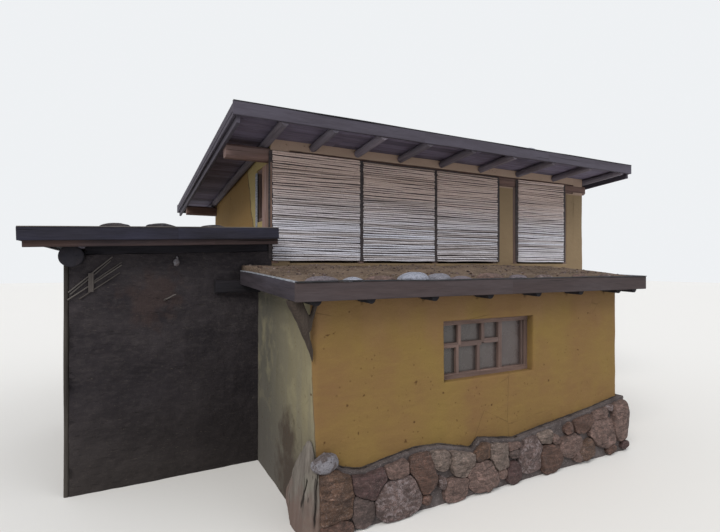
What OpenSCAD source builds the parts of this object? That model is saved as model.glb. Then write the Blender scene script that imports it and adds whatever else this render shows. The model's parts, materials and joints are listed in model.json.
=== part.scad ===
// Adobe house with living roofs, in millimetres, +Z up, its front towards -Y.
// A tall main block stands behind a low yellow annex on a rubble plinth, and a dark mud-plastered
// block leans against the main block's left side. The origin is the centre of the outline on the
// ground. In the Hidden section, x runs along the annex front from its left corner and y runs back.

/* [Annex] */
// Width of the annex, outside
annex_w = 5360; // [4200:10:6400]
// Depth of the annex, from its front to the main block
annex_d = 2280; // [1800:10:3200]
// Height of the annex roof boards' underside at the front wall
annex_eave = 2705; // [2500:5:2850]
// Fall of the annex roof towards the front, in degrees
annex_fall = 2.2; // [1:0.1:4]
// Overhang of the annex roof, front and sides
annex_over = 300; // [150:10:500]
// Thickness of the adobe walls
wall = 300; // [200:10:400]
// Radius of the rounded wall corners of the annex
corner_r = 70; // [20:5:120]
// Diameter of the annex roof logs
annex_log = 120; // [80:5:160]
// Place of the first annex roof log inside the left wall
annex_log_first = 600; // [400:5:800]
// Spacing of the annex roof logs
annex_log_pitch = 885; // [600:5:1000]

/* [Annex window] */
// Left edge of the window hole, from the annex's left corner
win_x = 1820; // [800:10:2400]
// Width of the window hole
win_w = 1610; // [800:10:2200]
// Height of the window hole
win_h = 790; // [500:10:900]
// Height of the window sill
win_sill = 1490; // [1200:10:1700]
// Depth of the recess in front of the window frame
win_recess = 110; // [40:5:200]

/* [Stone plinth] */
// Thickness of the plinth at its foot
plinth_foot = 170; // [100:5:260]
// Thickness of the plinth at its mean height
plinth_top = 120; // [90:5:160]
// Mean height of the plinth
plinth_h = 700; // [500:10:900]
// Height of the pale corner buttress
buttress_h = 1050; // [800:10:1300]

/* [Main block] */
// Depth of the main block, outside
main_d = 4700; // [3800:10:6000]
// Inset of the main block's left face from the annex's left face
main_set = 206; // [0:1:300]
// Width of each of the three like cane screens
screen_w = 1540; // [1200:10:1800]
// Width of the cane screen at the right
end_screen_w = 1420; // [1000:10:1800]
// Gap between two cane screens
screen_gap = 40; // [20:5:80]
// Width of the ochre panel
ochre_w = 460; // [300:10:700]
// Width of the dark strips beside the end screen
jamb_w = 100; // [60:5:160]
// Width of the yellow pier at the right end
pier_w = 540; // [400:10:800]
// Height of the wall under the gallery
sill_z = 3050; // [3020:10:3150]
// Height of the upper floor's surface
floor2_z = 2700; // [2600:10:2800]
// Height of the front wall plate's underside
plate_z = 4640; // [4500:10:4900]
// Width of the wall plates
plate_w = 200; // [160:10:240]
// Height of the wall plates
plate_h = 210; // [160:10:240]

/* [Doors] */
// Width of the doorways
door_w = 900; // [750:10:1100]
// Height of the doorways
door_h = 2000; // [1850:10:2150]
// Distance of the back door from the right wall's inner face
door_from_right = 1000; // [300:10:1800]

/* [Main roof] */
// Fall of the main roof towards the back, in degrees
main_fall = 5.3; // [3:0.1:7]
// Overhang of the main roof at the front and the back
main_over = 950; // [600:10:1200]
// Overhang of the main roof at the left
main_over_left = 784; // [500:1:1000]
// Overhang of the main roof at the right
main_over_right = 320; // [200:10:800]
// Diameter of the main roof logs
main_log = 130; // [90:5:160]
// Gap from the first roof log to the second, centre to centre
log_gap = 770; // [600:5:900]
// Growth of each further gap between roof logs
log_gap_grow = 51; // [0:1:80]
// Height of the main roof's fascia boards
main_fascia_h = 180; // [140:5:220]
// Depth of the edge timbers below the side fascia boards
edge_drop_h = 90; // [40:5:120]

/* [Mud block] */
// Width of the mud block, outside
mud_w = 2680; // [2000:10:3600]
// Depth of the mud block, outside
mud_d = 3600; // [2400:10:4600]
// Thickness of the mud walls
mud_wall = 350; // [250:10:450]
// Height of the wall-top beam's upper face at the main block
mud_beam_top = 3350; // [3300:5:3500]
// Fall of the mud block's roof towards the left, in degrees
mud_fall = 1.9; // [1:0.1:4]
// Front and back overhang of the mud block's roof
mud_over = 400; // [250:10:600]
// Left overhang of the mud block's roof
mud_over_left = 496; // [250:1:600]
// Diameter of the mud block's roof poles
mud_pole_d = 90; // [60:5:120]
// Diameter of the thick log on the left wall
side_log = 280; // [220:5:320]

/* [Timber] */
// Thickness of the roof boards
board = 40; // [25:1:50]
// Thickness of the fascia boards
fascia_t = 45; // [30:1:60]
// Clearance between a timber and the wall that holds it
fit = 0.3; // [0.1:0.1:0.5]

/* [Hidden] */
$fn = 48;

// A height above the whole house, and a step past a face that a cut goes through
high = 2 * plate_z;
past = 1;
floor_t = 60;

// Main block: outline, and the steps along its front
main_x = main_set;
main_y = annex_d;
first_strip = 35;
screen_x1 = main_x + first_strip;
screen_step = screen_w + screen_gap;
ochre_x = screen_x1 + 3 * screen_step - screen_gap;
end_screen_x = ochre_x + ochre_w + jamb_w;
pier_x = end_screen_x + end_screen_w + jamb_w;
main_right = pier_x + pier_w;
main_back = main_y + main_d;
in_left = main_x + wall;
in_right = main_right - wall;
in_front = main_y + wall;
in_back = main_back - wall;

// Main roof: the underside of its logs and boards as lines over y
main_tan = tan(main_fall);
seat_in = 50;
seat_y = main_y + plate_w - seat_in;
function log_under(y) = plate_z + plate_h + (seat_y - y) * main_tan;
function main_under(y) = log_under(y) + main_log / cos(main_fall);
function main_deck(y) = main_under(y) + board / cos(main_fall);
roof_left = main_x - main_over_left;
roof_right = main_right + main_over_right;
roof_front = main_y - main_over;
roof_back = main_back + main_over;
fascia_rise = 42;
function fascia_line(y) = main_deck(y) + fascia_rise;
edge_t = 50;
plate_r = 40;
plate_past = 110;
plate_gap = 5;
back_seat_y = main_back - seat_in;
back_plate_z = log_under(back_seat_y) - plate_h;

// Annex roof: the underside of its boards as a line over y
annex_tan = tan(annex_fall);
function annex_under(y) = annex_eave + y * annex_tan;
rear_beam_t = 120;
rear_beam_h = 190;
rear_beam_y = annex_d - rear_beam_t;
rear_beam_past = 650;
annex_fascia_h = 200;
annex_fascia_drop = 75;
annex_fascia_z = annex_eave - annex_fascia_drop;
annex_right_edge = annex_w + annex_over;

// Mud block: outline, and its roof as lines over x
mud_x = main_x - mud_w;
mud_y = main_y;
mud_back = mud_y + mud_d;
mud_tan = tan(mud_fall);
function mud_line(x) = mud_beam_top + x * mud_tan;
beam_h = 130;
beam_t = 140;
mud_left_edge = mud_x - mud_over_left;
mud_front_edge = mud_y - mud_over;
mud_back_edge = mud_back + mud_over;
mud_pole_pitch = 430;
mud_fascia_drop = 40;
mud_fascia_rise = 80;
mud_edge_h = 80;
side_log_in = 34;
side_log_drop = 225;
side_log_x = mud_x + side_log_in;
side_log_z = mud_beam_top - side_log_drop;
side_log_past = 230;
side_log_back = 120;

// The part is drawn around the centre of its outline
x_min = min(mud_left_edge, roof_left);
x_max = max(roof_right, annex_right_edge);
y_min = min(-annex_over, roof_front);
y_max = max(roof_back, mud_back_edge);

yellow = "#c79a3c";
mud = "#5b4a3c";
brown = "#5a3d2c";
dark_board = "#4a3a34";
log_brown = "#6a4a34";
soil = "#8a7458";
stone = "#a8806a";
cane = "#a8967c";
glass = "#8fa3a8";

module in_frame() {
    translate([-(x_min + x_max) / 2, -(y_min + y_max) / 2, 0]) children();
}

// A box from its lowest to its highest corner
module block(lo, hi) {
    translate(lo) cube(hi - lo);
}

// A profile of [y, z] points, drawn out from x0 to x1
module along_x(x0, x1) {
    translate([x0, 0, 0]) rotate([90, 0, 90]) linear_extrude(x1 - x0) children();
}

// A profile of [x, z] points, drawn out from y0 to y1
module along_y(y0, y1) {
    translate([0, y1, 0]) rotate([90, 0, 0]) linear_extrude(y1 - y0) children();
}

module rounded(w, h, r) {
    translate([r, 0]) square([w - 2 * r, h]);
    translate([0, r]) square([w, h - 2 * r]);
    for (x = [r, w - r], y = [r, h - r]) translate([x, y]) circle(r);
}

// Roof logs

// Places of the main roof's logs: one against each side wall, the gaps growing to the right
function log_x(i) = main_x - main_log / 2 + i * log_gap + i * (i - 1) / 2 * log_gap_grow;
last_log_x = main_right + main_log / 2;
main_log_count = len([for (i = [0:20]) if (log_x(i) < last_log_x - log_gap / 2) i]);
main_log_places = concat([for (i = [0:main_log_count - 1]) log_x(i)], [last_log_x]);

module main_log_at(x, d) {
    y0 = roof_front + fascia_t;
    y1 = roof_back - fascia_t;
    translate([x, y0, log_under(y0) + main_log / 2 / cos(main_fall)])
        rotate([-90 - main_fall, 0, 0])
            cylinder(d = d, h = (y1 - y0) / cos(main_fall));
}

module main_logs(d) {
    intersection() {
        for (x = main_log_places) main_log_at(x, d);
        block([x_min, roof_front + fascia_t, 0], [x_max, roof_back - fascia_t, high]);
    }
}

// Places of the annex roof's logs: one outside each side wall, the others over the room
inner_logs = [for (x = [annex_log_first:annex_log_pitch:annex_w - wall]) x];
outer_logs = [-annex_log / 2 - fit, annex_w + annex_log / 2 + fit];

module annex_logs(places, d) {
    y0 = fascia_t - annex_over;
    y1 = rear_beam_y - fit;
    intersection() {
        for (x = places)
            translate([x, y0, annex_under(y0) - annex_log / 2 / cos(annex_fall)])
                rotate([-90 + annex_fall, 0, 0])
                    cylinder(d = d, h = (y1 - y0) / cos(annex_fall) + annex_log);
        block([-annex_over, y0, 0], [annex_w + annex_over, y1, high]);
    }
}

module main_plate(y, z, clear) {
    along_x(roof_left + fascia_t + edge_t + plate_gap, main_right + plate_past)
        translate([y - clear, z - clear])
            rounded(plate_w + 2 * clear, plate_h + 2 * clear, plate_r);
}

module main_plates(clear) {
    main_plate(main_y, plate_z, clear);
    main_plate(main_back - plate_w, back_plate_z, clear);
}

// Floors

module earth_floors() {
    color(soil) {
        block([wall, wall, 0], [annex_w - wall, annex_d, floor_t]);
        block([in_left, in_front, 0], [in_right, in_back, floor_t]);
        block([mud_x + mud_wall, mud_y + mud_wall, 0], [main_x, mud_back - mud_wall, floor_t]);
    }
}

// Annex

annex_profile = [[0, 0], [annex_d, 0], [annex_d, annex_under(annex_d)], [0, annex_under(0)]];

module annex_walls_top() {
    along_x(-past, annex_w + past) polygon(annex_profile);
}

module annex_front_wall() {
    color(yellow) difference() {
        intersection() {
            linear_extrude(high) difference() {
                square([annex_w, wall]);
                for (side = [0, 1]) translate([side * annex_w, 0]) mirror([side, 0])
                    difference() {
                        translate([-past, -past]) square(corner_r + past);
                        translate([corner_r, corner_r]) circle(corner_r);
                    }
            }
            annex_walls_top();
        }
        block([win_x, -past, win_sill], [win_x + win_w, wall + past, win_sill + win_h]);
        annex_logs(inner_logs, annex_log + 2 * fit);
    }
}

module annex_side_wall(x) {
    difference() {
        intersection() {
            block([x, wall, 0], [x + wall, annex_d, high]);
            annex_walls_top();
        }
        block([x - past, rear_beam_y - fit, annex_under(annex_d) - rear_beam_h - fit],
            [x + wall + past, annex_d + past, high]);
        annex_logs(inner_logs, annex_log + 2 * fit);
    }
}

module annex_left_wall() {
    color(yellow) annex_side_wall(0);
}

module annex_right_wall() {
    color(yellow) annex_side_wall(annex_w - wall);
}

// The plinth's uneven upper edge: share of the front, and height above or below the mean
plinth_edge = [[0.015, 185], [0.065, 0], [0.11, -60], [0.18, 0], [0.25, 50], [0.32, 25],
    [0.38, -60], [0.415, -110], [0.44, 0], [0.5, -60], [0.56, -110], [0.65, -50], [0.75, 0],
    [0.88, 80], [1, 170], [1.1, 180]];
plinth_left = plinth_edge[0][0] * annex_w;
plinth_side_rise = 170;

// The face of the plinth leans back: its thickness at a height
function plinth_face(z) = plinth_foot - (plinth_foot - plinth_top) * z / plinth_h;

// The leg along the right wall runs a step into the front one, so that both are one solid
module stone_plinth() {
    top = [for (p = plinth_edge) [p[0] * annex_w, plinth_h + p[1]]];
    right = top[len(top) - 1][0];
    high_z = max([for (p = top) p[1]]);
    side_z = plinth_h + plinth_side_rise;
    color(stone) {
        intersection() {
            along_y(-plinth_foot, 0) polygon(concat([[right, 0], [plinth_left, 0]], top));
            along_x(0, right) polygon([[0, 0], [0, high_z], [-plinth_face(high_z), high_z],
                [-plinth_foot, 0]]);
            along_y(-plinth_foot, 0) polygon([[0, 0], [annex_w + plinth_foot, 0],
                [annex_w + plinth_face(high_z), high_z], [0, high_z]]);
        }
        along_y(-past, annex_d) polygon([[annex_w, 0], [annex_w + plinth_foot, 0],
            [annex_w + plinth_face(side_z), side_z], [annex_w, side_z]]);
    }
}

// The buttress leans on the corner like a tall boulder: its reach to the left, front and back at
// the foot, its belly behind, and the height of its front and back shoulders
buttress_side = 150;
buttress_front = 130;
buttress_foot = 360;
buttress_belly = 575;
buttress_belly_z = 330;
buttress_shoulder = 290;
buttress_shoulder_z = 730;
buttress_front_z = 650;
foot_r = 20;
knob_r = 40;

module knob(x, y, z) {
    translate([x, y, z]) sphere(knob_r, $fn = 24);
}

module corner_buttress() {
    color("#b9b2a4") difference() {
        hull() {
            for (p = [[foot_r - buttress_side, foot_r - buttress_front],
                [plinth_left - foot_r, foot_r - buttress_front],
                [foot_r - buttress_side, buttress_foot - foot_r], [0, buttress_foot - foot_r]])
                translate([p[0], p[1], 0]) cylinder(r = foot_r, h = past);
            knob(-knob_r, knob_r, buttress_h - knob_r);
            knob(plinth_left - 1.5 * knob_r, -1.5 * knob_r, buttress_front_z);
            knob(-1.5 * knob_r, buttress_shoulder, buttress_shoulder_z);
            knob(-2 * knob_r, buttress_belly - knob_r, buttress_belly_z);
            knob(-2.5 * knob_r, buttress_belly - 1.5 * knob_r, buttress_belly_z - 3 * knob_r);
        }
        block([0, 0, -past], [annex_w, annex_d, high]);
        block([plinth_left, -annex_over, -past], [annex_w, 0, high]);
    }
}

frame_t = 60;
frame_w = 70;
mullion_w = 50;
glass_t = 6;
// Places of the mullions as shares of the window, and of the transom left of the last one
mullions = [0.2, 0.45, 0.67];
transom = 0.54;

module window_frame() {
    y0 = win_recess;
    color(brown) {
        difference() {
            block([win_x, y0, win_sill], [win_x + win_w, y0 + frame_t, win_sill + win_h]);
            block([win_x + frame_w, y0 - past, win_sill + frame_w],
                [win_x + win_w - frame_w, y0 + frame_t + past, win_sill + win_h - frame_w]);
        }
        for (f = mullions)
            block([win_x + f * win_w - mullion_w / 2, y0, win_sill + frame_w],
                [win_x + f * win_w + mullion_w / 2, y0 + frame_t, win_sill + win_h - frame_w]);
        block([win_x + frame_w, y0, win_sill + win_h * transom],
            [win_x + mullions[2] * win_w, y0 + frame_t, win_sill + win_h * transom + mullion_w]);
    }
}

module window_glass() {
    y0 = win_recess + frame_t;
    color(glass) block([win_x, y0, win_sill], [win_x + win_w, y0 + glass_t, win_sill + win_h]);
}

// The roof logs run into the beam that lies along the main block
module annex_roof_logs() {
    top = annex_under(annex_d);
    color(log_brown) {
        annex_logs(concat(inner_logs, outer_logs), annex_log);
        intersection() {
            block([-rear_beam_past, rear_beam_y, top - rear_beam_h],
                [annex_w + annex_over, annex_d, high]);
            along_x(-rear_beam_past, annex_w + annex_over)
                polygon([[0, 0], [annex_d, 0], [annex_d, top], [0, annex_under(0)]]);
        }
    }
}

module annex_roof_boards() {
    y0 = fascia_t - annex_over;
    lift = board / cos(annex_fall);
    color(dark_board) along_x(fascia_t - annex_over, annex_w + annex_over - fascia_t)
        polygon([[y0, annex_under(y0)], [annex_d, annex_under(annex_d)],
            [annex_d, annex_under(annex_d) + lift], [y0, annex_under(y0) + lift]]);
}

module annex_front_fascia() {
    color(dark_board) block([-annex_over, -annex_over, annex_fascia_z],
        [annex_w + annex_over, fascia_t - annex_over, annex_fascia_z + annex_fascia_h]);
}

module annex_side_fascias() {
    y0 = fascia_t - annex_over;
    y1 = rear_beam_y;
    rise = (y1 - y0) * annex_tan;
    color(dark_board) for (x = [-annex_over, annex_w + annex_over - fascia_t])
        along_x(x, x + fascia_t)
            polygon([[y0, annex_fascia_z], [y1, annex_fascia_z + rise],
                [y1, annex_fascia_z + rise + annex_fascia_h],
                [y0, annex_fascia_z + annex_fascia_h]]);
}

// The soil lies up against the wall under the gallery
soil_back_drop = 50;
soil_back = sill_z - soil_back_drop;
soil_front_low = 20;
soil_steps = 12;

module annex_soil() {
    y0 = fascia_t - annex_over;
    lift = board / cos(annex_fall);
    z0 = annex_fascia_z + annex_fascia_h - soil_front_low;
    color(soil) along_x(fascia_t - annex_over, annex_w + annex_over - fascia_t)
        polygon(concat([[y0, annex_under(y0) + lift], [annex_d, annex_under(annex_d) + lift]],
            [for (i = [soil_steps:-1:0]) let (u = i / soil_steps)
                [y0 + u * (annex_d - y0), z0 + (soil_back - z0) * sin(90 * u)]]));
}

// Forked branch under the corner of the annex roof. Each point of its stem and its twig has a
// place, a drop below the fascia's underside and a radius.
brace_stem = [[-8, -8, 690, 7], [-34, -18, 560, 27], [-76, -22, 440, 33], [-108, -24, 345, 48],
    [-126, -25, 213, 75], [-240, -28, -10, 86]];
brace_twig = [[-66, -30, 320, 34], [-37, -45, 205, 27], [30, -45, -10, 28]];

module limb(path) {
    for (i = [1:len(path) - 1]) hull() for (p = [path[i - 1], path[i]])
        translate([p[0], p[1], annex_fascia_z - p[2]]) sphere(p[3], $fn = 20);
}

module corner_brace() {
    color(log_brown) intersection() {
        union() {
            limb(brace_stem);
            limb(brace_twig);
        }
        difference() {
            block([-annex_over, -annex_over, 0], [annex_over, annex_over, annex_fascia_z]);
            union() {
                block([0, 0, 0], [annex_over + past, annex_over + past, high]);
                annex_logs(concat(inner_logs, outer_logs), annex_log + 2 * fit);
            }
        }
    }
}

// Mud block

// A wall whose top follows the mud roof, from x0 to x1 and y0 to y1
module mud_block_wall(x0, x1, y0, y1, drop) {
    along_y(y0, y1) polygon([[x0, 0], [x1, 0], [x1, mud_line(x1) - drop],
        [x0, mud_line(x0) - drop]]);
}

module side_log_shape(d) {
    translate([side_log_x, mud_y - side_log_past, side_log_z]) rotate([-90, 0, 0])
        cylinder(d = d, h = mud_d + side_log_past + side_log_back);
}

module mud_front_wall() {
    color(mud) difference() {
        mud_block_wall(mud_x, main_x, mud_y, mud_y + mud_wall, beam_h);
        side_log_shape(side_log + 2 * fit);
    }
}

module mud_left_wall() {
    color(mud) difference() {
        block([mud_x, mud_y + mud_wall, 0],
            [mud_x + mud_wall, mud_back - mud_wall, side_log_z]);
        side_log_shape(side_log + 2 * fit);
    }
}

module mud_back_wall() {
    color(mud) difference() {
        mud_block_wall(mud_x, main_x, mud_back - mud_wall, mud_back, beam_h);
        side_log_shape(side_log + 2 * fit);
    }
}

// The slender post stands at the outer corner and ends under the thick log
corner_post = 70;
corner_post_in = 40;

module mud_corner_post() {
    color(log_brown) difference() {
        translate([mud_x - corner_post / 2 - fit, mud_y + corner_post_in, 0])
            cylinder(d = corner_post, h = side_log_z);
        side_log_shape(side_log + 2 * fit);
    }
}

module mud_side_log() {
    color(log_brown) side_log_shape(side_log);
}

// Thin canes of the bare corner and the flat tie over them. Each cane has its lower and upper end,
// inwards from the wall's left edge and below the beam's upper face.
cane_d = 18;
lath_canes = [[[-12, 693], [492, 225]], [[8, 722], [470, 280]], [[-20, 790], [602, 336]],
    [[230, 590], [600, 300]], [[110, 782], [582, 438]]];
tie_in = 212;
tie_w = 67;
tie_top = 446;
tie_low = 690;
tie_t = 20;

module cane_lath() {
    color(cane) {
        for (c = lath_canes)
            let (run = c[1][0] - c[0][0], rise = c[0][1] - c[1][1])
                translate([mud_x + c[0][0], mud_y - cane_d / 2, mud_beam_top - c[0][1]])
                    rotate([0, atan2(run, rise), 0])
                        cylinder(d = cane_d, h = norm([run, rise]), $fn = 16);
        block([mud_x + tie_in, mud_y - cane_d / 2 - tie_t, mud_beam_top - tie_low],
            [mud_x + tie_in + tie_w, mud_y - cane_d / 2, mud_beam_top - tie_top]);
    }
}

// The poles lie just clear of the sloping beams and end behind the edge timbers
function pole_under(x) = mud_line(x) + mud_pole_d / 2 / cos(mud_fall) - mud_pole_d / 2 + fit;
pole_out = 200;
pole_first = 330;
pole_last = 100;
pole_places = concat([mud_x - pole_out],
    [for (x = [mud_x + pole_first:mud_pole_pitch:main_x - pole_last]) x]);
beam_gap = 5;
pole_y = mud_front_edge + fascia_t + edge_t + 2 * fit;

module mud_roof_timbers() {
    x0 = side_log_x + side_log / 2 + beam_gap;
    color(log_brown) {
        for (y = [mud_y, mud_back - beam_t])
            along_y(y, y + beam_t) polygon([[x0, mud_line(x0) - beam_h],
                [main_x, mud_line(main_x) - beam_h], [main_x, mud_line(main_x)],
                [x0, mud_line(x0)]]);
        for (x = pole_places)
            translate([x, pole_y, pole_under(x) + mud_pole_d / 2]) rotate([-90, 0, 0])
                cylinder(d = mud_pole_d, h = mud_front_edge + mud_back_edge - 2 * pole_y);
    }
}

function mud_under(x) = pole_under(x) + mud_pole_d / 2 + mud_pole_d / 2 / cos(mud_fall);
function mud_deck(x) = mud_under(x) + board / cos(mud_fall);
function mud_fascia_top(x) = mud_deck(x) + mud_fascia_rise;
function mud_fascia_low(x) = mud_under(x) - mud_fascia_drop;

// A layer of the mud roof between two heights over x
module mud_layer(x0, x1, y0, y1, lo0, lo1, hi0, hi1) {
    along_y(y0, y1) polygon([[x0, lo0], [x1, lo1], [x1, hi1], [x0, hi0]]);
}

module mud_roof_boards() {
    x0 = mud_left_edge + fascia_t;
    color(dark_board) mud_layer(x0, main_x, mud_front_edge + fascia_t, mud_back_edge - fascia_t,
        mud_under(x0), mud_under(main_x), mud_deck(x0), mud_deck(main_x));
}

// Front and back fascia boards, and the lower edge timbers behind them
module mud_long_fascias() {
    x0 = mud_left_edge;
    x1 = x0 + fascia_t + fit;
    color(dark_board) {
        for (y = [mud_front_edge, mud_back_edge - fascia_t])
            mud_layer(x0, main_x, y, y + fascia_t, mud_fascia_low(x0), mud_fascia_low(main_x),
                mud_fascia_top(x0), mud_fascia_top(main_x));
        for (y = [mud_front_edge + fascia_t + fit, mud_back_edge - fascia_t - edge_t - fit])
            mud_layer(x1, main_x, y, y + edge_t, mud_fascia_low(x1) - mud_edge_h,
                mud_fascia_low(main_x) - mud_edge_h, mud_under(x1), mud_under(main_x));
    }
}

module mud_left_fascia() {
    x0 = mud_left_edge;
    x1 = x0 + fascia_t;
    color(dark_board) mud_layer(x0, x1, mud_front_edge + fascia_t, mud_back_edge - fascia_t,
        mud_fascia_low(x0), mud_fascia_low(x1), mud_fascia_top(x0), mud_fascia_top(x1));
}

soil_below = 10;

module mud_soil() {
    x0 = mud_left_edge + fascia_t;
    color(soil) mud_layer(x0, main_x, mud_front_edge + fascia_t, mud_back_edge - fascia_t,
        mud_deck(x0), mud_deck(main_x), mud_fascia_top(x0) - soil_below,
        mud_fascia_top(main_x) - soil_below);
}

// Main block

inner_door_x = 1200;
mud_door_in = 900;
mud_door_y = in_front + mud_door_in;
back_door_x = in_right - door_from_right - door_w;

post = 120;
side_win_y = main_y + post;
side_win_w = 720;
side_win_z = 3750;
side_win_top = plate_z;
right_win_in = 900;
right_win_drop = 200;
right_win_y = main_y + right_win_in;
right_win_top = plate_z - right_win_drop;
back_win_w = 900;
back_win_h = 600;
back_win_z = 3300;
back_win_in = [1500, 4700];
back_win_x = [for (x = back_win_in) main_x + x];

main_profile = [[main_y, 0], [main_back, 0], [main_back, main_under(main_back)],
    [main_y, main_under(main_y)]];

module main_side_wall(x) {
    difference() {
        along_x(x, x + wall) polygon(main_profile);
        main_plates(fit);
    }
}

module main_front_wall() {
    color(yellow) difference() {
        block([in_left, main_y, 0], [in_right, in_front, sill_z]);
        block([inner_door_x, main_y - past, floor_t],
            [inner_door_x + door_w, in_front + past, floor_t + door_h]);
    }
}

module main_left_wall() {
    color(yellow) difference() {
        main_side_wall(main_x);
        block([main_x - past, main_y - past, sill_z], [main_x + post, main_y + post, plate_z]);
        block([main_x - past, side_win_y, side_win_z],
            [main_x + wall + past, side_win_y + side_win_w, side_win_top]);
        block([main_x - past, mud_door_y, floor_t],
            [main_x + wall + past, mud_door_y + door_w, floor_t + door_h]);
    }
}

module main_right_wall() {
    color(yellow) difference() {
        main_side_wall(in_right);
        block([in_right - past, right_win_y, side_win_z],
            [main_right + past, right_win_y + side_win_w, right_win_top]);
    }
}

module main_back_wall() {
    color(yellow) difference() {
        block([in_left, in_back, 0], [in_right, main_back, floor2_z]);
        block([back_door_x, in_back - past, floor_t],
            [back_door_x + door_w, main_back + past, floor_t + door_h]);
    }
}

// Wall under and over the upper back windows, with the piers between them as a piece of their own
module upper_back_wall() {
    color(yellow) {
        block([in_left, in_back, floor2_z], [in_right, main_back, back_win_z]);
        block([in_left, in_back, back_win_z + back_win_h], [in_right, main_back, back_plate_z]);
    }
}

module upper_back_piers() {
    from = concat([in_left], [for (x = back_win_x) x + back_win_w]);
    to = concat(back_win_x, [in_right]);
    color(yellow) for (i = [0:len(to) - 1])
        block([from[i], in_back, back_win_z], [to[i], main_back, back_win_z + back_win_h]);
}

door_frame = 70;
door_frame_t = 100;
door_recess = 50;
door_t = 45;
door_back = 15;

module back_door_frame() {
    y1 = main_back - door_recess;
    color(brown) difference() {
        block([back_door_x, y1 - door_frame_t, floor_t], [back_door_x + door_w, y1, floor_t + door_h]);
        block([back_door_x + door_frame, y1 - door_frame_t - past, floor_t - past],
            [back_door_x + door_w - door_frame, y1 + past, floor_t + door_h - door_frame]);
    }
}

module back_door() {
    y1 = main_back - door_recess - door_back;
    color(brown) block([back_door_x + door_frame, y1 - door_t, floor_t],
        [back_door_x + door_w - door_frame, y1, floor_t + door_h - door_frame]);
}

joist = 140;
joist_pitch = 700;

module upper_floor() {
    color(log_brown) {
        block([in_left, in_front, floor2_z - board], [in_right, in_back, floor2_z]);
        for (x = [in_left + joist:joist_pitch:in_right - joist / 2])
            translate([x, in_front, floor2_z - board - joist / 2 - fit]) rotate([-90, 0, 0])
                cylinder(d = joist, h = main_d - 2 * wall);
    }
}

post_places = [main_x, screen_x1 + screen_step - screen_gap / 2 - post / 2,
    screen_x1 + 2 * screen_step - screen_gap / 2 - post / 2,
    ochre_x - post, ochre_x + ochre_w + jamb_w / 2 - post / 2,
    pier_x - post];

module gallery_posts() {
    color(brown) for (x = post_places) block([x, main_y, sill_z], [x + post, main_y + post, plate_z]);
}

screen_t = 30;
screen_edge = 30;
screen_low = sill_z + screen_edge;
screen_top = plate_z + plate_h - screen_edge;

module screen(x, w) {
    color(cane) block([x, main_y - screen_t, screen_low], [x + w, main_y, screen_top]);
}

module cane_screen_1() {
    screen(screen_x1, screen_w);
}

module cane_screen_2() {
    screen(screen_x1 + screen_step, screen_w);
}

module cane_screen_3() {
    screen(screen_x1 + 2 * screen_step, screen_w);
}

module cane_screen_4() {
    screen(end_screen_x, end_screen_w);
}

ochre_gap = 10;

module upper_front_piers() {
    color(yellow) {
        block([ochre_x, main_y, sill_z], [ochre_x + ochre_w - ochre_gap, main_y + post, plate_z]);
        block([pier_x, main_y, sill_z], [in_right, in_front, plate_z]);
    }
}

// Frames and glass of the upper windows, set back from the walls' outer faces
side_recess = 20;
back_recess = 100;
side_mullion = 0.55;

module side_frame(h) {
    difference() {
        cube([frame_t, side_win_w, h]);
        translate([-past, side_win_w * side_mullion, frame_w])
            cube([frame_t + 2 * past, side_win_w * (1 - side_mullion) - frame_w, h - 2 * frame_w]);
    }
}

module upper_window_frames() {
    y0 = main_back - back_recess;
    color(brown) {
        translate([main_x + side_recess, side_win_y, side_win_z])
            side_frame(side_win_top - side_win_z);
        translate([main_right - side_recess - frame_t, right_win_y, side_win_z])
            side_frame(right_win_top - side_win_z);
        for (x = back_win_x) difference() {
            block([x, y0, back_win_z], [x + back_win_w, y0 + frame_t, back_win_z + back_win_h]);
            block([x + frame_w, y0 - past, back_win_z + frame_w],
                [x + back_win_w - frame_w, y0 + frame_t + past, back_win_z + back_win_h - frame_w]);
        }
    }
}

module upper_window_glass() {
    left = main_x + side_recess + frame_t;
    right = main_right - side_recess - frame_t;
    y0 = main_back - back_recess;
    color(glass) {
        block([left, side_win_y, side_win_z], [left + glass_t, side_win_y + side_win_w, side_win_top]);
        block([right - glass_t, right_win_y, side_win_z],
            [right, right_win_y + side_win_w, right_win_top]);
        for (x = back_win_x)
            block([x, y0 - glass_t, back_win_z], [x + back_win_w, y0, back_win_z + back_win_h]);
    }
}

module front_wall_plate() {
    color(log_brown) main_plate(main_y, plate_z, 0);
}

module back_wall_plate() {
    color(log_brown) main_plate(main_back - plate_w, back_plate_z, 0);
}

module main_roof_logs() {
    color(log_brown) main_logs(main_log);
}

// Plaster between the logs, over both wall plates
module eaves_plaster() {
    color(yellow) difference() {
        union() {
            along_x(in_left, in_right) polygon([[main_y, plate_z + plate_h],
                [main_y + plate_w, plate_z + plate_h], [main_y + plate_w, main_under(main_y + plate_w)],
                [main_y, main_under(main_y)]]);
            along_x(in_left, in_right) polygon([[main_back - plate_w, back_plate_z + plate_h],
                [main_back, back_plate_z + plate_h], [main_back, main_under(main_back)],
                [main_back - plate_w, main_under(main_back - plate_w)]]);
        }
        main_logs(main_log + 2 * fit);
    }
}

module main_layer(x0, x1, y0, y1, low, high) {
    along_x(x0, x1) polygon([[y0, low[0]], [y1, low[1]], [y1, high[1]], [y0, high[0]]]);
}

module main_roof_boards() {
    y0 = roof_front + fascia_t;
    y1 = roof_back - fascia_t;
    color(dark_board) main_layer(roof_left + fascia_t, roof_right - fascia_t, y0, y1,
        [main_under(y0), main_under(y1)], [main_deck(y0), main_deck(y1)]);
}

module main_front_fascia() {
    z1 = fascia_line(roof_front);
    color(dark_board) block([roof_left, roof_front, z1 - main_fascia_h],
        [roof_right, roof_front + fascia_t, z1]);
}

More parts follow.
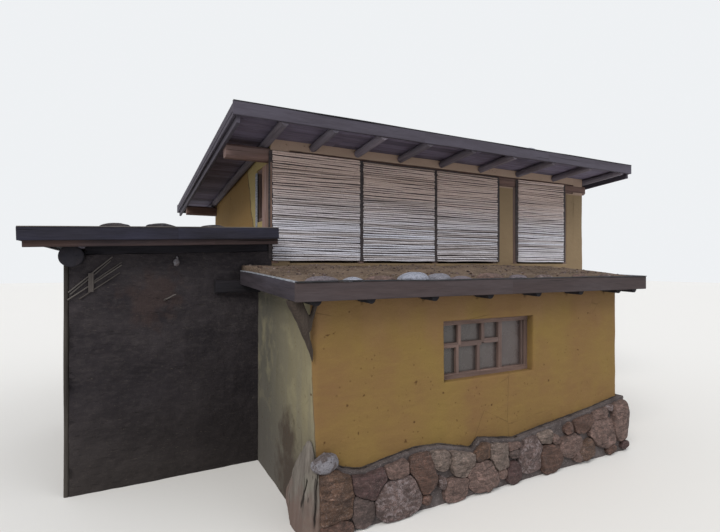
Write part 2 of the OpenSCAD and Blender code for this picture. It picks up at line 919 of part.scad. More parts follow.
module main_back_fascia() {
    z1 = fascia_line(roof_back);
    color(dark_board) block([roof_left, roof_back - fascia_t, z1 - main_fascia_h],
        [roof_right, roof_back, z1]);
}

module main_side_fascias() {
    y0 = roof_front + fascia_t;
    y1 = roof_back - fascia_t;
    low = [fascia_line(y0) - main_fascia_h, fascia_line(y1) - main_fascia_h];
    color(dark_board) {
        for (x = [roof_left, roof_right - fascia_t])
            main_layer(x, x + fascia_t, y0, y1, low, [fascia_line(y0), fascia_line(y1)]);
        for (x = [roof_left + fascia_t + fit, roof_right - fascia_t - edge_t - fit])
            main_layer(x, x + edge_t, y0, y1, low - [edge_drop_h, edge_drop_h],
                [main_under(y0), main_under(y1)]);
    }
}

soil_crown = 90;

module main_soil() {
    y0 = roof_front + fascia_t;
    y1 = roof_back - fascia_t;
    color(soil) along_x(roof_left + fascia_t, roof_right - fascia_t)
        polygon(concat([[y1, main_deck(y1)], [y0, main_deck(y0)]],
            [for (i = [0:soil_steps]) let (u = i / soil_steps, y = y0 + u * (y1 - y0))
                [y, fascia_line(y) - soil_below + soil_crown * sin(180 * u)]]));
}

in_frame() earth_floors();
in_frame() annex_front_wall();
in_frame() annex_left_wall();
in_frame() annex_right_wall();
in_frame() stone_plinth();
in_frame() corner_buttress();
in_frame() window_frame();
in_frame() window_glass();
in_frame() annex_roof_logs();
in_frame() annex_roof_boards();
in_frame() annex_front_fascia();
in_frame() annex_side_fascias();
in_frame() annex_soil();
in_frame() corner_brace();
in_frame() mud_front_wall();
in_frame() mud_left_wall();
in_frame() mud_back_wall();
in_frame() mud_corner_post();
in_frame() mud_side_log();
in_frame() cane_lath();
in_frame() mud_roof_timbers();
in_frame() mud_roof_boards();
in_frame() mud_long_fascias();
in_frame() mud_left_fascia();
in_frame() mud_soil();
in_frame() main_front_wall();
in_frame() main_left_wall();
in_frame() main_right_wall();
in_frame() main_back_wall();
in_frame() upper_back_wall();
in_frame() upper_back_piers();
in_frame() back_door();
in_frame() back_door_frame();
in_frame() upper_floor();
in_frame() gallery_posts();
in_frame() cane_screen_1();
in_frame() cane_screen_2();
in_frame() cane_screen_3();
in_frame() cane_screen_4();
in_frame() upper_front_piers();
in_frame() upper_window_frames();
in_frame() upper_window_glass();
in_frame() front_wall_plate();
in_frame() back_wall_plate();
in_frame() main_roof_logs();
in_frame() eaves_plaster();
in_frame() main_roof_boards();
in_frame() main_front_fascia();
in_frame() main_side_fascias();
in_frame() main_back_fascia();
in_frame() main_soil();
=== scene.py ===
"""Looks of the adobe house. Metres, in the row frame. House coordinates below run x along the annex
front from its left corner, y backwards from that front, z up, and at() turns them into the frame."""

import json
import math
import random

import bmesh
import bpy
from mathutils import Matrix, Vector, noise

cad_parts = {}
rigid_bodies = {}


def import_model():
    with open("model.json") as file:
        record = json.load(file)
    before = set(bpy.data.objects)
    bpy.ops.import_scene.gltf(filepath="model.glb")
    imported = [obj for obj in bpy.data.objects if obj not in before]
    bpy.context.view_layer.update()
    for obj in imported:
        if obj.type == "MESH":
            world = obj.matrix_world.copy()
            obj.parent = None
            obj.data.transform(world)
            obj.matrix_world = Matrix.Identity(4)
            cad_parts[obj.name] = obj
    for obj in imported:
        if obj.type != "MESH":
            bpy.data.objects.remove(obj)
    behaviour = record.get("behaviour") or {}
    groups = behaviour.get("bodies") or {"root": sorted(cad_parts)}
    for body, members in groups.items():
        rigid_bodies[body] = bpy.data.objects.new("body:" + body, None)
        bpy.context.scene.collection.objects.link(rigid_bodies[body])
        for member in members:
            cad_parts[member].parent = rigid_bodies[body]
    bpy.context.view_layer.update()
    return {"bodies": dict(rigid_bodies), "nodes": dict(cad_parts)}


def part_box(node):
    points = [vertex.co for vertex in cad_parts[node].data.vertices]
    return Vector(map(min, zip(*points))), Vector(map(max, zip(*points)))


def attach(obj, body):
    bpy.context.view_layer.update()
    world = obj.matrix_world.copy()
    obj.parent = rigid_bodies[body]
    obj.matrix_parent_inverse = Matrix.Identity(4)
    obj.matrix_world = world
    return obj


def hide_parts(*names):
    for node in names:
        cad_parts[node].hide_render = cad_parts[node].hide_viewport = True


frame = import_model()
BODY = next(iter(frame["bodies"]))
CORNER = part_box("annex_front_wall")[0]
# The vector noise starts from the clock unless it is seeded
noise.seed_set(7)

# Sizes that several pieces share
WALL_CELL = 0.075
LOG_STEP = 0.14
BOARD = 0.04
BOARD_WIDTH = 0.15
FASCIA = 0.043
LINER = 0.014
# Middle of a fascia board, in from the outer edge of its node
FASCIA_IN = 0.0225

# Falls of the three roofs
ANNEX_FALL = math.tan(math.radians(2.2))
MUD_TILT = math.radians(1.9)
MUD_FALL = math.tan(MUD_TILT)
MAIN_TILT = math.radians(5.3)
MAIN_FALL = math.tan(MAIN_TILT)

EVEN = (1, 1, 1)
RIGHT, BACK, UP = Vector((1, 0, 0)), Vector((0, 1, 0)), Vector((0, 0, 1))


def at(x, y, z):
    """A point in house coordinates, as a point of the frame."""
    return Vector((CORNER.x + x, CORNER.y + y, z))


def span(node):
    """Lowest and highest corner of a node in house coordinates."""
    shift = Vector((CORNER.x, CORNER.y, 0))
    return tuple(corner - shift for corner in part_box(node))


def spine(lo, hi, axis=0):
    """Both ends of the middle line of a box along an axis."""
    middle, half = (lo + hi) / 2, (RIGHT, BACK, UP)[axis] * (hi - lo)[axis] / 2
    return middle - half, middle + half


def lerp(a, b, t):
    return a + (b - a) * t


def smooth(a, b, x):
    t = min(1.0, max(0.0, (x - a) / (b - a)))
    return t * t * (3 - 2 * t)


def times(colour, factor):
    return [c * factor for c in colour]


# Shader nodes

class Field:
    """What a shader node gives. Sums and products of it make further nodes."""

    def __init__(self, tree, socket):
        self.tree, self.socket = tree, socket

    def math(self, kind, other=0.0):
        return node(self.tree, "Math", {0: self, 1: other}, operation=kind)

    def __add__(self, other):
        return self.math("ADD", other)

    def __sub__(self, other):
        return self.math("SUBTRACT", other)

    def __mul__(self, other):
        return self.math("MULTIPLY", other)

    def __abs__(self):
        return self.math("ABSOLUTE")

    def map(self, low, high, out_low=0.0, out_high=1.0):
        ends = {"From Min": low, "From Max": high, "To Min": out_low, "To Max": out_high}
        return node(self.tree, "MapRange", {"Value": self, **ends})

    def axis(self, index):
        return node(self.tree, "SeparateXYZ", {0: self}, index)

    def stretch(self, scale):
        return node(self.tree, "VectorMath", {0: self, 1: scale}, operation="MULTIPLY")

    def distance(self, point):
        return node(self.tree, "VectorMath", {0: self, 1: point}, "Value", operation="DISTANCE")


def give(tree, socket, value):
    """Sets a socket to a constant, or links it to what another node gives."""
    if isinstance(value, Field):
        tree.links.new(value.socket, socket)
    else:
        socket.default_value = (*value, 1) if socket.type == "RGBA" else value


def node(tree, kind, sockets, out=0, **options):
    """Adds a node. Its sockets and its output go by name or number."""
    made = tree.nodes.new("ShaderNode" + kind)
    for option, value in options.items():
        setattr(made, option, value)
    for name, value in sockets.items():
        give(tree, made.inputs[name], value)
    return Field(tree, made.outputs[out])


class Paint:
    """A principled material, painted in coats over its first colour. Its noises lie in object
    coordinates, or in the grain coordinate that each timber and stone carries."""

    def __init__(self, name, roughness, specular, colour=None, carried=False):
        self.material = bpy.data.materials.new(name)
        self.material.use_nodes = True
        self.tree = self.material.node_tree
        self.shader = self.tree.nodes["Principled BSDF"]
        self.shader.inputs["Roughness"].default_value = roughness
        self.shader.inputs["Specular IOR Level"].default_value = specular
        self.colour, self.normal = colour, None
        self.lie = self.grain if carried else self.place

    def place(self, scale=EVEN):
        return node(self.tree, "TexCoord", {}, "Object").stretch(scale)

    def grain(self, scale=EVEN):
        return node(self.tree, "Attribute", {}, "Vector", attribute_name="grain").stretch(scale)

    def tint(self):
        return node(self.tree, "Attribute", {}, "Fac", attribute_name="tint")

    def noise(self, stretch, scale, detail=4.0, rough=0.55, twist=0.0):
        return node(self.tree, "TexNoise", {"Vector": self.lie(stretch), "Scale": scale, "Detail": detail,
                                            "Roughness": rough, "Distortion": twist}, "Fac")

    def cells(self, stretch, scale, output="Distance", feature="F1"):
        return node(self.tree, "TexVoronoi", {"Vector": self.lie(stretch), "Scale": scale}, output,
                    feature=feature)

    def ragged(self, amount, scale, stretch=EVEN):
        """A shift by up to an amount, to either side, that makes a border ragged."""
        return self.noise(stretch, scale).map(0.3, 0.7, -amount, amount)

    def near(self, x, y, z, reach, edge=0.5):
        """One at a point of the house, falling to nothing at the reach, with a ragged edge."""
        far = self.place().distance(at(x, y, z)) + self.ragged(reach * edge, 6.0)
        return far.map(reach, reach * 0.4)

    def mix(self, share, a, b, blend="MIX"):
        return node(self.tree, "Mix", {0: share, 6: a, 7: b}, 2, data_type="RGBA", blend_type=blend)

    def layers(self, colour, *coats):
        """A colour under some coats, each a share and a colour."""
        for share, coat in coats:
            colour = self.mix(share, colour, coat)
        return colour

    def coat(self, share, colour):
        self.colour = self.mix(share, self.colour, colour)

    def times(self, colour):
        """The colour so far, times another."""
        return self.mix(1.0, self.colour, colour, "MULTIPLY")

    def shade(self, vary):
        """Makes each timber a little lighter or darker than the next, by its tint."""
        shade = self.tint().map(0, 1, 1 - vary, 1 + vary)
        self.colour = self.times(node(self.tree, "CombineColor", {0: shade, 1: shade, 2: shade}))

    def relief(self, height, distance, strength):
        sockets = {"Height": height, "Distance": distance, "Strength": strength}
        if self.normal:
            sockets["Normal"] = self.normal
        self.normal = node(self.tree, "Bump", sockets)

    def done(self, rough=None):
        for name, value in (("Base Color", self.colour), ("Roughness", rough), ("Normal", self.normal)):
            if value:
                give(self.tree, self.shader.inputs[name], value)
        return self.material


# Materials

def plaster(name, light, dark, stain, side=None):
    """Hand-trowelled earth plaster: soft patches, sand, pits, a stained top and a damp foot."""
    p = Paint(name, 0.92, 0.2, dark)
    height = p.place().axis(2)
    p.coat(p.noise((1, 1, 0.8), 1.1, 3).map(0.35, 0.68), light)
    p.coat(p.noise((1, 1, 3.2), 3.4, 5, 0.6, 0.6).map(0.45, 0.75, 0, 0.35), times(light, 1.16))
    ragged = height + p.ragged(0.22, 2.3, (1, 1, 0.3))
    p.coat(ragged.map(2.1, 2.62, 0, 0.62), stain)
    p.coat(ragged.map(0.95, 0.35, 0, 0.5), times(dark, 0.62))
    if side:
        side(p, ragged)
    sand = p.noise(EVEN, 95.0, 3, 0.7)
    p.coat(sand.map(0.35, 0.7, 0, 0.16), times(dark, 0.55))
    low = p.noise(EVEN, 2.1, 3) + height.map(0.6, 2.4, 0.07, -0.05)
    speck = p.cells(EVEN, 13.0).map(0.19, 0.08) * low.map(0.48, 0.56, 0, 0.7)
    p.coat(speck * 0.75, (0.080, 0.037, 0.012))
    pits = p.cells(EVEN, 4.2).map(0.075, 0.045) * p.noise(EVEN, 1.7, 2).map(0.5, 0.56)
    p.coat(pits * 0.8, (0.066, 0.031, 0.011))
    crack = p.cells((1, 1, 0.8), 1.5, feature="DISTANCE_TO_EDGE").map(0.006, 0.0)
    crack = crack * p.noise(EVEN, 0.9, 2).map(0.56, 0.62)
    p.coat(crack * 0.45, times(dark, 0.4))
    p.relief(p.noise((1, 1, 1.6), 7.0, 4, 0.6), 0.02, 0.55)
    p.relief(sand, 0.003, 0.6)
    p.relief(pits + speck + crack, -0.006, 0.8)
    return p.done(sand.map(0.3, 0.7, 0.84, 0.98))


# Pits of the annex front: place along it, height, size, and how drawn out it is
WALL_PITS = ((1.37, 1.55, 0.026, 1.2), (0.63, 1.49, 0.020, 1), (0.42, 1.40, 0.022, 1),
             (1.21, 0.85, 0.028, 1.3), (0.57, 1.05, 0.018, 0.7), (0.14, 1.01, 0.020, 0.8),
             (0.181, 2.224, 0.016, 2.2), (0.262, 2.244, 0.012, 2.6), (2.02, 0.98, 0.018, 1),
             (3.75, 1.30, 0.022, 1.2), (4.40, 1.70, 0.018, 1))


def annex_side(p, ragged):
    """Pits in the annex front. Its left face is unpainted: pale beside the corner, greyer and darker
    backwards with painted shade of the mud block's corner, damp and stained below, where the stain is partly
    a painted shadow of a ladder that is left out."""
    place = p.place()
    jitter = p.cells(EVEN, 30.0, "Color").stretch((0.02,) * 3)
    shifted = node(p.tree, "VectorMath", {0: place, 1: jitter}, operation="ADD")
    for x, z, reach, flat in WALL_PITS:
        centre = at(x, 0, z) + Vector((0.01, 0.01, 0.01))
        # The middle of a stretched pit is stretched too
        far = shifted.stretch((1 / flat, 0.3, 1)).distance((centre.x / flat, centre.y * 0.3, centre.z))
        p.coat(far.map(reach, reach * 0.35, 0, 0.85), (0.060, 0.026, 0.008))
    turn = place.axis(0) - place.axis(1) + (CORNER.y - CORNER.x) + p.ragged(0.012, 5.0, (1, 1, 0.6))
    # A dark brown patch low on the left face: a damp stain, and partly a painted shadow of a ladder that is
    # left out
    stain = p.near(0, 0.86, 0.80, 0.42, 0.3).math("MAXIMUM", p.near(0, 0.80, 0.25, 0.62, 0.3))
    # Greyer and darker backwards: grey plaster, and painted shade of the corner by the mud block
    tone = p.layers((0.228, 0.200, 0.122), (turn.map(-0.15, -1.7), (0.092, 0.088, 0.072)),
                    (p.noise((4, 4, 0.5), 2.0, 5).map(0.42, 0.72, 0, 0.4), (0.150, 0.142, 0.118)),
                    (p.noise(EVEN, 2.6, 4, 0.6).map(0.52, 0.7, 0, 0.5), (0.272, 0.245, 0.150)),
                    (ragged.map(1.35, 0.35, 0, 0.8), (0.092, 0.086, 0.078)),
                    (stain * 0.85, (0.046, 0.034, 0.028)))
    # The paint reaches round the corner high up, and low down the bare plaster does
    turn = turn + place.axis(2).map(2.3, 0.9, 0.085, -0.030)
    p.coat(turn.map(0.012, -0.012), tone)
    line = abs(turn).map(0.009, 0.003, 0, 0.6)
    p.coat(line * place.axis(2).map(1.9, 1.7), (0.06, 0.048, 0.036))


def gallery_side(p, _):
    """The left wall under the high roof: a pale swollen patch up to a dark ridge line, which is painted shade
    of its raised edge, then ochre behind it; above the plate the front end takes the eaves colour, which is
    painted light.
    """
    x, y, z = (p.place().axis(k) for k in range(3))
    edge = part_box("main_left_wall")[0]
    turn = y - (edge.y + 1.35) - (z - 4.35) * 0.417 + p.ragged(0.05, 4.0)
    # The dark line along the patch's edge is painted shade of its raised rim
    side = p.layers((0.27, 0.168, 0.062), (turn.map(0.03, -0.03), (0.40, 0.315, 0.140)),
                    (abs(turn).map(0.034, 0.010, 0, 0.9), (0.070, 0.052, 0.030)))
    left = x.map(edge.x + 0.064, edge.x + 0.044)
    p.coat(left * (z.map(3.3, 3.6) * y.map(edge.y + 0.005, edge.y + 0.015)), side)
    # The front end of the wall above the plate takes the eaves colour: painted light, as on the eaves strip
    strip = z.map(4.60, 4.64) * y.map(edge.y + 0.015, edge.y + 0.005)
    p.coat(strip, (0.380, 0.275, 0.215))


def mud_plaster():
    """Dark mud with straw in it: level streaks, hollows, pale flecks, a reddish patch, and painted shade low
    down by the annex.
    """
    p = Paint("mud_plaster", 0.96, 0.15, (0.021, 0.018, 0.021))
    place = p.place()
    height = place.axis(2)
    p.coat(p.noise((1, 1, 1.8), 1.3).map(0.35, 0.68), (0.041, 0.035, 0.038))
    p.coat(p.noise((1, 1, 2.2), 9.0, 6, 0.7).map(0.48, 0.72, 0, 0.5), (0.066, 0.057, 0.057))
    p.coat(p.near(-1.50, 2.28, 2.57, 0.42) * 0.45, (0.058, 0.037, 0.032))
    p.coat(height.map(1.2, 0.1, 0, 0.35), (0.064, 0.054, 0.044))
    # Near-black low down towards the annex: painted shade of the corner where the mud wall meets the annex
    beside = (place.axis(0) + p.ragged(0.5, 1.4)).map(CORNER.x - 2.2, CORNER.x - 0.5, 0.25, 1)
    p.coat(height.map(2.2, 0.7, 0, 0.62) * beside, (0.010, 0.008, 0.009))
    dash = p.noise((8, 8, 46), 1.0, 4, 0.6, 0.8)
    p.coat(dash.map(0.40, 0.32) * 0.65, (0.014, 0.012, 0.012))
    straw = p.noise((24, 24, 150), 1.0, 2, 0.5, 1.5).map(0.67, 0.73)
    p.coat(straw * 0.45, (0.165, 0.140, 0.110))
    lumps = p.noise(EVEN, 16.0, 6, 0.72)
    p.relief(p.noise(EVEN, 5.0, 5, 0.65), 0.035, 0.8)
    p.relief(dash, 0.012, 0.7)
    p.relief(lumps, 0.012, 0.9)
    return p.done(lumps.map(0.3, 0.7, 0.88, 1.0))


def timber(name, dark, light, grey, worn=0.5, vary=0.28):
    """Solid wood along the third grain axis: rings, streaks, fibres, checks and greying."""
    p = Paint(name, 0.82, 0.3, dark, carried=True)
    p.coat(p.noise((9, 9, 0.7), 2.2, 5, 0.6, 0.4).map(0.35, 0.68), light)
    ring = node(p.tree, "TexWave", {"Vector": p.grain((1, 1, 0.06)), "Scale": 26.0, "Distortion": 2.4,
                                    "Detail": 3.0, "Detail Scale": 1.6}, "Fac",
                wave_type="RINGS", rings_direction="Z")
    p.coat(ring.map(0.2, 0.8, 0.0, 0.4), times(dark, 0.62))
    p.coat(p.noise((3, 3, 0.5), 1.6).map(0.42, 0.66, 0, worn), grey)
    fibre = p.noise((75, 75, 2.4), 2.0, 4, 0.65)
    p.coat(fibre.map(0.4, 0.72, 0, 0.35), times(dark, 0.5))
    check = p.noise((34, 34, 0.55), 1.0, 2, 0.5).map(0.70, 0.74)
    p.coat(check * 0.8, times(dark, 0.25))
    p.shade(vary)
    p.relief(fibre, 0.0016, 0.7)
    p.relief(ring, 0.001, 0.5)
    p.relief(check, -0.004, 0.9)
    return p.done(fibre.map(0.3, 0.7, 0.74, 0.94))


def cane_paint():
    """Dry cane: pale stripes, grey weathering below, warmer under the eaves, dark joints."""
    p = Paint("cane", 0.6, 0.4, (0.44, 0.405, 0.410), carried=True)
    tint = p.tint()
    p.coat(p.noise((5, 5, 0.9), 1.4).map(0.35, 0.68), (0.70, 0.67, 0.71))
    p.coat(tint.map(0.25, 0.95, 0, 0.7), (0.66, 0.685, 0.785))
    height = p.place().axis(2) + tint.map(0, 1, -0.2, 0.2)
    p.coat(height.map(3.75, 4.35, 0, 0.8), (0.60, 0.445, 0.375))
    p.coat(tint.map(0.28, 0, 0, 0.5), (0.16, 0.115, 0.09))
    stripe = p.noise((240, 240, 1.2), 1.0, 3, 0.6)
    p.coat(stripe.map(0.45, 0.75, 0, 0.4), (0.11, 0.085, 0.07))
    ring = abs((p.grain().axis(2) * 3.4).math("FRACT") - 0.5).map(0.012, 0.003)
    p.coat(ring * 0.6, (0.09, 0.068, 0.052))
    p.relief(stripe, 0.0008, 0.7)
    p.relief(ring, 0.0015, 0.6)
    return p.done(stripe.map(0.3, 0.7, 0.5, 0.8))


# Tones that a stone's tint picks
PURPLE, SLATE, GOLDEN, RUSTY, PINK, PALE, GREY = 0.0, 0.07, 0.15, 0.3, 0.45, 0.6, 0.72
SAND, LILAC, WHITE, PALE_BLUE, SNOW = 0.84, 0.885, 0.93, 0.965, 1.0
STONE_TONES = ((PURPLE, (0.060, 0.036, 0.035)), (SLATE, (0.026, 0.025, 0.031)),
               (GOLDEN, (0.082, 0.049, 0.034)), (RUSTY, (0.077, 0.045, 0.035)),
               (PINK, (0.118, 0.079, 0.068)), (PALE, (0.086, 0.061, 0.057)),
               (GREY, (0.072, 0.054, 0.050)), (SAND, (0.130, 0.102, 0.087)), (LILAC, (0.150, 0.130, 0.148)),
               (WHITE, (0.092, 0.076, 0.076)), (SNOW, (0.285, 0.300, 0.360)))


def stone_tone(p):
    """The tone that each stone's tint picks, blended between neighbours in the list."""
    made = p.tree.nodes.new("ShaderNodeValToRGB")
    give(p.tree, made.inputs["Fac"], p.tint())
    elements = made.color_ramp.elements
    for spot, _ in STONE_TONES[1:-1]:
        elements.new(spot)
    for element, (spot, colour) in zip(elements, STONE_TONES):
        element.position, element.color = spot, (*colour, 1)
    return Field(p.tree, made.outputs["Color"])


def granite():
    """Rubble: each stone its own tone from its tint, with crystals, veins and blotches."""
    p = Paint("granite", 0.88, 0.3, carried=True)
    p.colour = stone_tone(p)
    tint = p.tint()
    calm = tint.map(0.86, 0.88, 1, 0.25)
    blotch = p.noise(EVEN, 7.0, 5, 0.62, 0.4)
    p.coat(calm * blotch.map(0.45, 0.74, 0, 0.55), (0.075, 0.052, 0.045))
    seam = p.noise((3.5, 15, 7), 2.0, 5, 0.65, 1.3)
    p.coat(calm * seam.map(0.50, 0.64, 0, 0.5), p.times((2.1, 2.0, 2.0)))
    p.coat(calm * seam.map(0.46, 0.36, 0, 0.5), p.times((0.45, 0.42, 0.42)))
    crystal = p.cells(EVEN, 120.0, "Color")
    bright = crystal.axis(0).map(0.80, 0.95)
    p.coat(bright * p.noise(EVEN, 1.6, 2).map(0.46, 0.62, 0.02, 0.15), (0.42, 0.37, 0.36))
    light = p.noise(EVEN, 9.0, 6, 0.72, 0.6).map(0.50, 0.64, 0, 0.8)
    p.coat(calm * light, p.times((1.8, 1.75, 1.75)))
    mottle = p.noise(EVEN, 15.0, 6, 0.75, 0.5).map(0.50, 0.60, 0, 0.8)
    p.coat(mottle * abs(tint - PALE).map(0.05, 0.01), (0.25, 0.205, 0.205))
    fleck = p.noise((1, 1.5, 1), 9.0, 4, 0.6, 0.6).map(0.44, 0.54)
    p.coat(fleck * abs(tint - WHITE).map(0.02, 0.008), (0.200, 0.191, 0.210))
    hollow = p.noise(EVEN, 6.0, 4, 0.65, 0.8)
    p.coat(calm * hollow.map(0.44, 0.34, 0, 0.6), (0.040, 0.027, 0.024))
    p.coat(crystal.axis(1).map(0.84, 0.95, 0, 0.6), (0.035, 0.027, 0.025))
    band = p.noise((3, 9, 3), 1.7, 2, 0.5, 0.8)
    vein = band.map(0.62, 0.64) * band.map(0.67, 0.65)
    p.coat(calm * (vein * 0.55), (0.045, 0.032, 0.028))
    p.relief(hollow, 0.05, 0.7)
    p.relief(blotch, 0.025, 0.8)
    p.relief(seam, 0.022, 0.8)
    p.relief(p.noise(EVEN, 26.0, 6, 0.7), 0.010, 0.9)
    p.relief(vein, -0.006, 0.8)
    return p.done(bright.map(0, 1, 0.92, 0.6))


def earth(name, dark, light, spot, grit_scale=34.0):
    """Loose or beaten earth with clods and grit."""
    p = Paint(name, 0.97, 0.15, dark)
    p.coat(p.noise(EVEN, 2.1, 5).map(0.36, 0.66), light)
    p.coat(p.noise(EVEN, 14.0, 5, 0.7).map(0.5, 0.75, 0, 0.6), spot)
    grit = p.cells(EVEN, grit_scale)
    pick = p.cells(EVEN, grit_scale, "Color").axis(0)
    p.coat(grit.map(0.4, 0.25) * pick.map(0.7, 0.8, 0, 0.7), times(spot, 1.5))
    rough = p.noise(EVEN, 40.0, 6, 0.75)
    p.relief(p.noise(EVEN, 9.0, 5, 0.7), 0.03, 0.8)
    p.relief(grit.map(0.0, 0.6, 1, 0), 0.006, 0.6)
    p.relief(rough, 0.006, 0.9)
    return p.done(rough.map(0.3, 0.7, 0.9, 1.0))


def weathered_render():
    """The pale boulder at the corner: upright streaks, a pinkish foot, and cracks where its tint is high."""
    p = Paint("weathered_render", 0.94, 0.2, (0.100, 0.085, 0.074))
    streak = p.noise((14, 14, 0.9), 1.6, 5, 0.6, 0.3)
    p.coat(streak.map(0.32, 0.68), (0.190, 0.168, 0.147))
    p.coat(p.noise(EVEN, 4.0).map(0.5, 0.72, 0, 0.5), (0.145, 0.138, 0.110))
    height = p.place().axis(2) + p.ragged(0.2, 5.0)
    p.coat(height.map(0.55, 0.2, 0, 0.7), (0.142, 0.092, 0.078))
    split = p.noise((26, 26, 0.8), 1.0, 2, 0.5).map(0.66, 0.71, 0, 0.7)
    p.coat(split.math("MAXIMUM", p.tint().map(0.25, 0.7)), (0.030, 0.024, 0.021))
    fine = p.noise((90, 90, 12), 1.0, 4, 0.7)
    p.relief(streak, 0.02, 0.8)
    p.relief(fine, 0.003, 0.7)
    p.relief(split, -0.01, 0.9)
    return p.done(fine.map(0.3, 0.7, 0.86, 1.0))


def dusty_glass(name, clean, dust_tone, streaks=0.0):
    """Dusty panes, some with pale upright streaks."""
    p = Paint(name, 0.25, 0.5, clean)
    dust = p.noise(EVEN, 5.0, 5, 0.65).map(0.42, 0.75, 0, 0.6)
    p.coat(dust, dust_tone)
    lo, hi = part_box("window_frame")
    p.coat(p.place().axis(0).map(lo.x, hi.x, 0.55, 0), (0.040, 0.044, 0.040))
    p.coat(p.noise((26, 26, 1.1), 1.0, 3, 0.6).map(0.47, 0.60, 0, streaks), (0.34, 0.35, 0.38))
    p.relief(p.noise(EVEN, 2.2, 2), 0.004, 0.3)
    return p.done(dust.map(0, 0.6, 0.2, 0.5))


def sheet_paint(name, dark, light, rough=0.7):
    """A thin wrinkled sheet, such as a roof liner."""
    p = Paint(name, rough, 0.3, dark)
    wrinkle = p.noise((3, 3, 12), 4.0, 4, 0.6)
    p.coat(wrinkle.map(0.4, 0.7), light)
    p.relief(wrinkle, 0.004, 0.6)
    return p.done(wrinkle.map(0.3, 0.7, rough - 0.12, rough + 0.15))


# Each kind of paint: short name, material, its tones from dark to light and worn, and what differs
RECIPES = (
    (plaster, (
        ("annex", "annex_plaster", (0.206, 0.136, 0.041), (0.186, 0.106, 0.044), (0.222, 0.128, 0.068),
         annex_side),
        ("main", "main_plaster", (0.270, 0.196, 0.118), (0.195, 0.140, 0.086), (0.235, 0.168, 0.098),
         gallery_side),
        # The eaves tones are the main plaster made lighter: painted light that lifts the shaded strip under
        # the deep eaves
        ("eaves", "eaves_plaster", (0.465, 0.342, 0.272), (0.340, 0.247, 0.196), (0.408, 0.297, 0.228)))),
    (earth, (
        ("mortar", "mortar", (0.066, 0.055, 0.054), (0.118, 0.099, 0.097), (0.175, 0.152, 0.148), 60.0),
        ("soil", "roof_soil", (0.075, 0.052, 0.039), (0.155, 0.112, 0.082), (0.22, 0.172, 0.128)),
        # The dark ledge line is partly dirt and partly painted shade
        ("dirt", "ledge_dirt", (0.030, 0.024, 0.022), (0.062, 0.050, 0.044), (0.085, 0.070, 0.06), 50.0),
        ("floor", "earth_floor", (0.14, 0.105, 0.078), (0.21, 0.165, 0.125), (0.17, 0.13, 0.10), 50.0))),
    (timber, (
        ("fascia", "fascia_board", (0.046, 0.033, 0.034), (0.068, 0.048, 0.048), (0.066, 0.053, 0.057),
         0.55, 0.04),
        ("side_fascia", "side_fascia", (0.022, 0.017, 0.022), (0.048, 0.038, 0.047), (0.052, 0.047, 0.064),
         0.6, 0.1),
        # The lilac-blue cast in the high and dark fascias, the roof boards and the logs is partly painted
        # shade: the blue of skylight
        ("high_fascia", "high_fascia", (0.062, 0.054, 0.071), (0.080, 0.071, 0.092), (0.088, 0.080, 0.106),
         0.6, 0.05),
        ("dark_fascia", "dark_fascia", (0.012, 0.011, 0.018), (0.025, 0.023, 0.037), (0.027, 0.027, 0.050),
         0.6, 0.06),
        ("board", "roof_board", (0.102, 0.086, 0.124), (0.190, 0.164, 0.226), (0.182, 0.164, 0.242)),
        ("log", "log", (0.134, 0.114, 0.134), (0.258, 0.226, 0.262), (0.216, 0.208, 0.266), 0.45),
        # Near-black, darker than the wood: painted shade for the logs and plates under the annex and mud
        # roofs and the big log
        ("dark_log", "dark_log", (0.008, 0.007, 0.010), (0.019, 0.015, 0.019), (0.016, 0.016, 0.024), 0.45),
        ("plate", "plate", (0.135, 0.078, 0.064), (0.260, 0.160, 0.135), (0.190, 0.145, 0.145), 0.45),
        ("red", "red_timber", (0.022, 0.016, 0.019), (0.048, 0.032, 0.033), (0.085, 0.044, 0.030), 0.4),
        ("shutter", "shutter", (0.220, 0.128, 0.096), (0.420, 0.270, 0.205), (0.320, 0.250, 0.270), 0.45),
        ("brown", "brown_timber", (0.106, 0.068, 0.057), (0.210, 0.140, 0.118), (0.165, 0.124, 0.118), 0.4),
        ("grey", "weathered_wood", (0.030, 0.025, 0.022), (0.066, 0.056, 0.048), (0.084, 0.074, 0.064), 0.6),
        ("brace", "brace", (0.032, 0.022, 0.017), (0.066, 0.048, 0.038), (0.078, 0.062, 0.050)),
        ("pale_wood", "pale_wood", (0.060, 0.050, 0.046), (0.120, 0.105, 0.096), (0.135, 0.125, 0.120)))),
    (dusty_glass, (
        ("glass", "dusty_glass", (0.085, 0.065, 0.062), (0.125, 0.104, 0.100)),
        ("upper_glass", "curtained_glass", (0.050, 0.044, 0.046), (0.12, 0.108, 0.108), 0.85))),
    (sheet_paint, (
        ("liner", "roof_liner", (0.012, 0.012, 0.014), (0.040, 0.040, 0.046)),
        ("pale_liner", "pale_liner", (0.16, 0.17, 0.19), (0.38, 0.40, 0.46), 0.6),
        # The dark sheet behind the cane screens is painted shade
        ("mat", "backing_mat", (0.030, 0.025, 0.027), (0.075, 0.062, 0.062), 0.85))))
PAINTS = {key: kind(*tones) for kind, rows in RECIPES for key, *tones in rows}
PAINTS.update(mud=mud_plaster(), granite=granite(), render=weathered_render(), cane=cane_paint())


# Meshes

def wave(x, y, z=0.0):
    """Smooth noise at a place, from about -1 to 1."""
    return noise.noise(Vector((x, y, z)))


def across(direction):
    """Two directions square to a timber: level, and as near upright as can be."""
    side = direction.cross(UP)
    side = RIGHT if side.length < 0.1 else side.normalized()
    return side, side.cross(direction).normalized()


def circle(radius, sides):
    turns = [2 * math.pi * i / sides for i in range(sides)]
    return [(radius * math.cos(turn), radius * math.sin(turn)) for turn in turns]


def band(start, other, count):
    """Faces between two closed rows of as many points, by the number of each row's first point."""
    return [(start + i, start + (i + 1) % count, other + (i + 1) % count, other + i) for i in range(count)]


